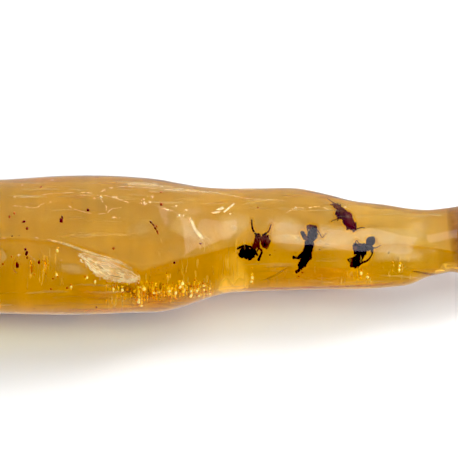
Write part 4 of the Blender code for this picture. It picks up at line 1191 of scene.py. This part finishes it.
def makeVeils():
    materials = {"pale": paleVeil, "amber": amberFlowAndShadeVeil, "brown": brownShadeVeil, "glow": glowVeil}
    streaks, dice = {"glow": [], "amber": [], "pale": []}, random.Random(ribs["seed"])
    for left, right, top, bottom, count, strength in ribs["areas"]:
        for i in range(count):
            x, y = dice.uniform(left, right), dice.uniform(top, bottom)
            long = dice.uniform(0.2, 0.5) * (bottom - top)
            line = [(x, y - long / 2), (x + dice.uniform(-0.5, 0.5), y), (x + dice.uniform(-0.8, 0.8), y + long / 2)]
            wide = dice.uniform(*ribs["width"])
            streaks["glow" if i % 2 else "amber"].append((line, (wide * 0.6, wide, wide * 0.6), ribs["depth"],
                strength * dice.uniform(0.4, 1.0)))
    for left, right, top, bottom, count, strength in ribs["flow"]:
        for i in range(count):
            x, y = dice.uniform(left, right), dice.uniform(top, bottom)
            long, tilt = dice.uniform(0.15, 0.4) * (right - left), dice.uniform(-0.04, 0.06)
            line = [(x + long * t, y + long * t * tilt + dice.uniform(-0.5, 0.5)) for t in (-0.5, -0.17, 0.17, 0.5)]
            wide = dice.uniform(*ribs["width"])
            streaks["pale" if i % 2 else "amber"].append((line, (wide * 0.5, wide, wide, wide * 0.5), 0.6,
                strength * dice.uniform(0.3, 1.0)))
    for name, veil in veils.items():
        heap = Heap()
        veil["streaks"] += streaks.get(name, [])
        for outline, depth, strength, *soft in veil["patches"]:
            addVeil(heap, outline, depth, strength, *soft)
        for line, widths, depth, strength in veil["streaks"]:
            addStreak(heap, line, widths, depth, strength)
        heap.build(name + "Veils", materials[name])


makeMilk("milkyResin", milk["upper"], milk["lower"], milk["upper"], 0.07, 0.06)
makeMilk("thinMilk", milk["lower"], milk["low"], milk["low"], 0.06, 0.5)
makeCrumbs()
makeCracksAndGlints()
makeFeather()
makePleats()
makeVeils()
print("what the resin holds is made")


# the floor, the lights and the camera

studio = {
    "floorSize": 3.0, "floorColour": "F4F4F4", "blackLevel": (0.035, 0.038, 0.022),
    # how high the light stands, in degrees from the front horizon over the top to the back one, and how bright it is
    "sky": [(0, 0.22), (45, 0.3), (65, 0.45), (80, 0.6), (112, 0.7), (135, 0.65), (155, 0.6), (180, 0.7)],
    # a card is only mirrored in the gloss, and the others only light things
    "softboxes": {
        "key": {"place": (0.39, -0.17, 0.79), "width": 0.54, "depth": 0.38, "glow": 1.8, "card": True},
        "back": {"place": (0.5, 0.36, 0.5), "width": 0.36, "depth": 0.36, "glow": 18.0, "card": False},
        "top": {"place": (0.1, 0.0, 0.85), "width": 0.7, "depth": 0.7, "glow": 2.1, "card": False},
        "front": {"place": (0.4, -0.45, 0.55), "width": 0.5, "depth": 0.4, "glow": 1.0, "card": False},
        "side": {"place": (0.15, -0.08, 0.08), "width": 0.06, "depth": 0.06, "glow": 22.0, "card": False},
    },
}


def makeFloor():
    size = studio["floorSize"] / 2
    made, tree, shader = newMaterial("whitePaper")  # matt white card, with no texture to see at this distance
    shader.inputs["Base Color"].default_value = hexColour(studio["floorColour"])
    shader.inputs["Roughness"].default_value = 0.9
    corners = [(-size, -size, -0.0001), (size, -size, -0.0001), (size, size, -0.0001), (-size, size, -0.0001)]
    floor = pieceFrom("floor", corners, [(0, 1, 2, 3)], [made])
    # the gloss of the resin shows the dark of the room below the cards, and no white floor
    floor.visible_glossy = False


def makeSoftbox(name, box):
    light = bpy.data.lights.new(name, "AREA")
    light.shape, light.size, light.size_y = "RECTANGLE", box["width"], box["depth"]
    light.energy = box["glow"] * math.pi * box["width"] * box["depth"]
    lamp = bpy.data.objects.new(name, light)
    lamp.location = box["place"]
    if not box["card"]:
        lamp.rotation_euler = Vector(box["place"]).to_track_quat("Z", "Y").to_euler()
    lamp.visible_glossy, lamp.visible_diffuse = box["card"], not box["card"]
    bpy.context.scene.collection.objects.link(lamp)


def makeWorld():
    world = bpy.data.worlds.new("studio")
    bpy.context.scene.world = world
    world.use_nodes = True
    tree = world.node_tree
    back = tree.nodes["Background"]
    place = addNode(tree, "ShaderNodeTexCoord")
    split = addNode(tree, "ShaderNodeSeparateXYZ", {}, {"Vector": place.outputs["Generated"]})
    front = addNode(tree, "ShaderNodeMath", {"operation": "MULTIPLY", 1: -1.0}, {0: split.outputs["Y"]})
    height = addNode(tree, "ShaderNodeMath", {"operation": "ARCTAN2"}, {0: split.outputs["Z"], 1: front.outputs[0]})
    share = addNode(tree, "ShaderNodeMath", {"operation": "DIVIDE", 1: math.pi}, {0: height.outputs[0]})
    # the same below the horizon
    mirrored = addNode(tree, "ShaderNodeMath", {"operation": "ABSOLUTE"}, {0: share.outputs[0]})
    glow = addNode(tree, "ShaderNodeValToRGB", {}, {"Fac": mirrored.outputs[0]})
    ramp = glow.color_ramp
    brightest = max(b for _, b in studio["sky"])
    while len(ramp.elements) < len(studio["sky"]):
        ramp.elements.new(0.5)
    for element, (height, bright) in zip(ramp.elements, studio["sky"]):
        element.position = height / 180
        element.color = (*[bright / brightest] * 3, 1)
    tree.links.new(glow.outputs["Color"], back.inputs["Color"])
    back.inputs["Strength"].default_value = brightest
    world.cycles_visibility.diffuse = False


def makeCamera(view):
    camera = bpy.data.objects.new("camera", bpy.data.cameras.new("camera"))
    camera.data.lens, camera.data.sensor_width = view["lens"], view["sensor"]
    camera.data.clip_start, camera.data.clip_end = 0.01, 20.0
    back, _ = directions(view)
    camera.location = Vector(view["aim"]) * mm + back * view["distance"]
    camera.rotation_euler = (-back).to_track_quat("-Z", "Y").to_euler()
    bpy.context.scene.collection.objects.link(camera)
    bpy.context.scene.camera = camera


makeFloor()
makeWorld()
for name, box in studio["softboxes"].items():
    makeSoftbox(name, box)
makeCamera(studioCamera)
picture = bpy.context.scene.view_settings
picture.view_transform = "Standard"
picture.use_curve_mapping = True
picture.curve_mapping.black_level, picture.curve_mapping.white_level = studio["blackLevel"], (1.0, 1.0, 1.0)
picture.curve_mapping.update()
print("the studio is set")
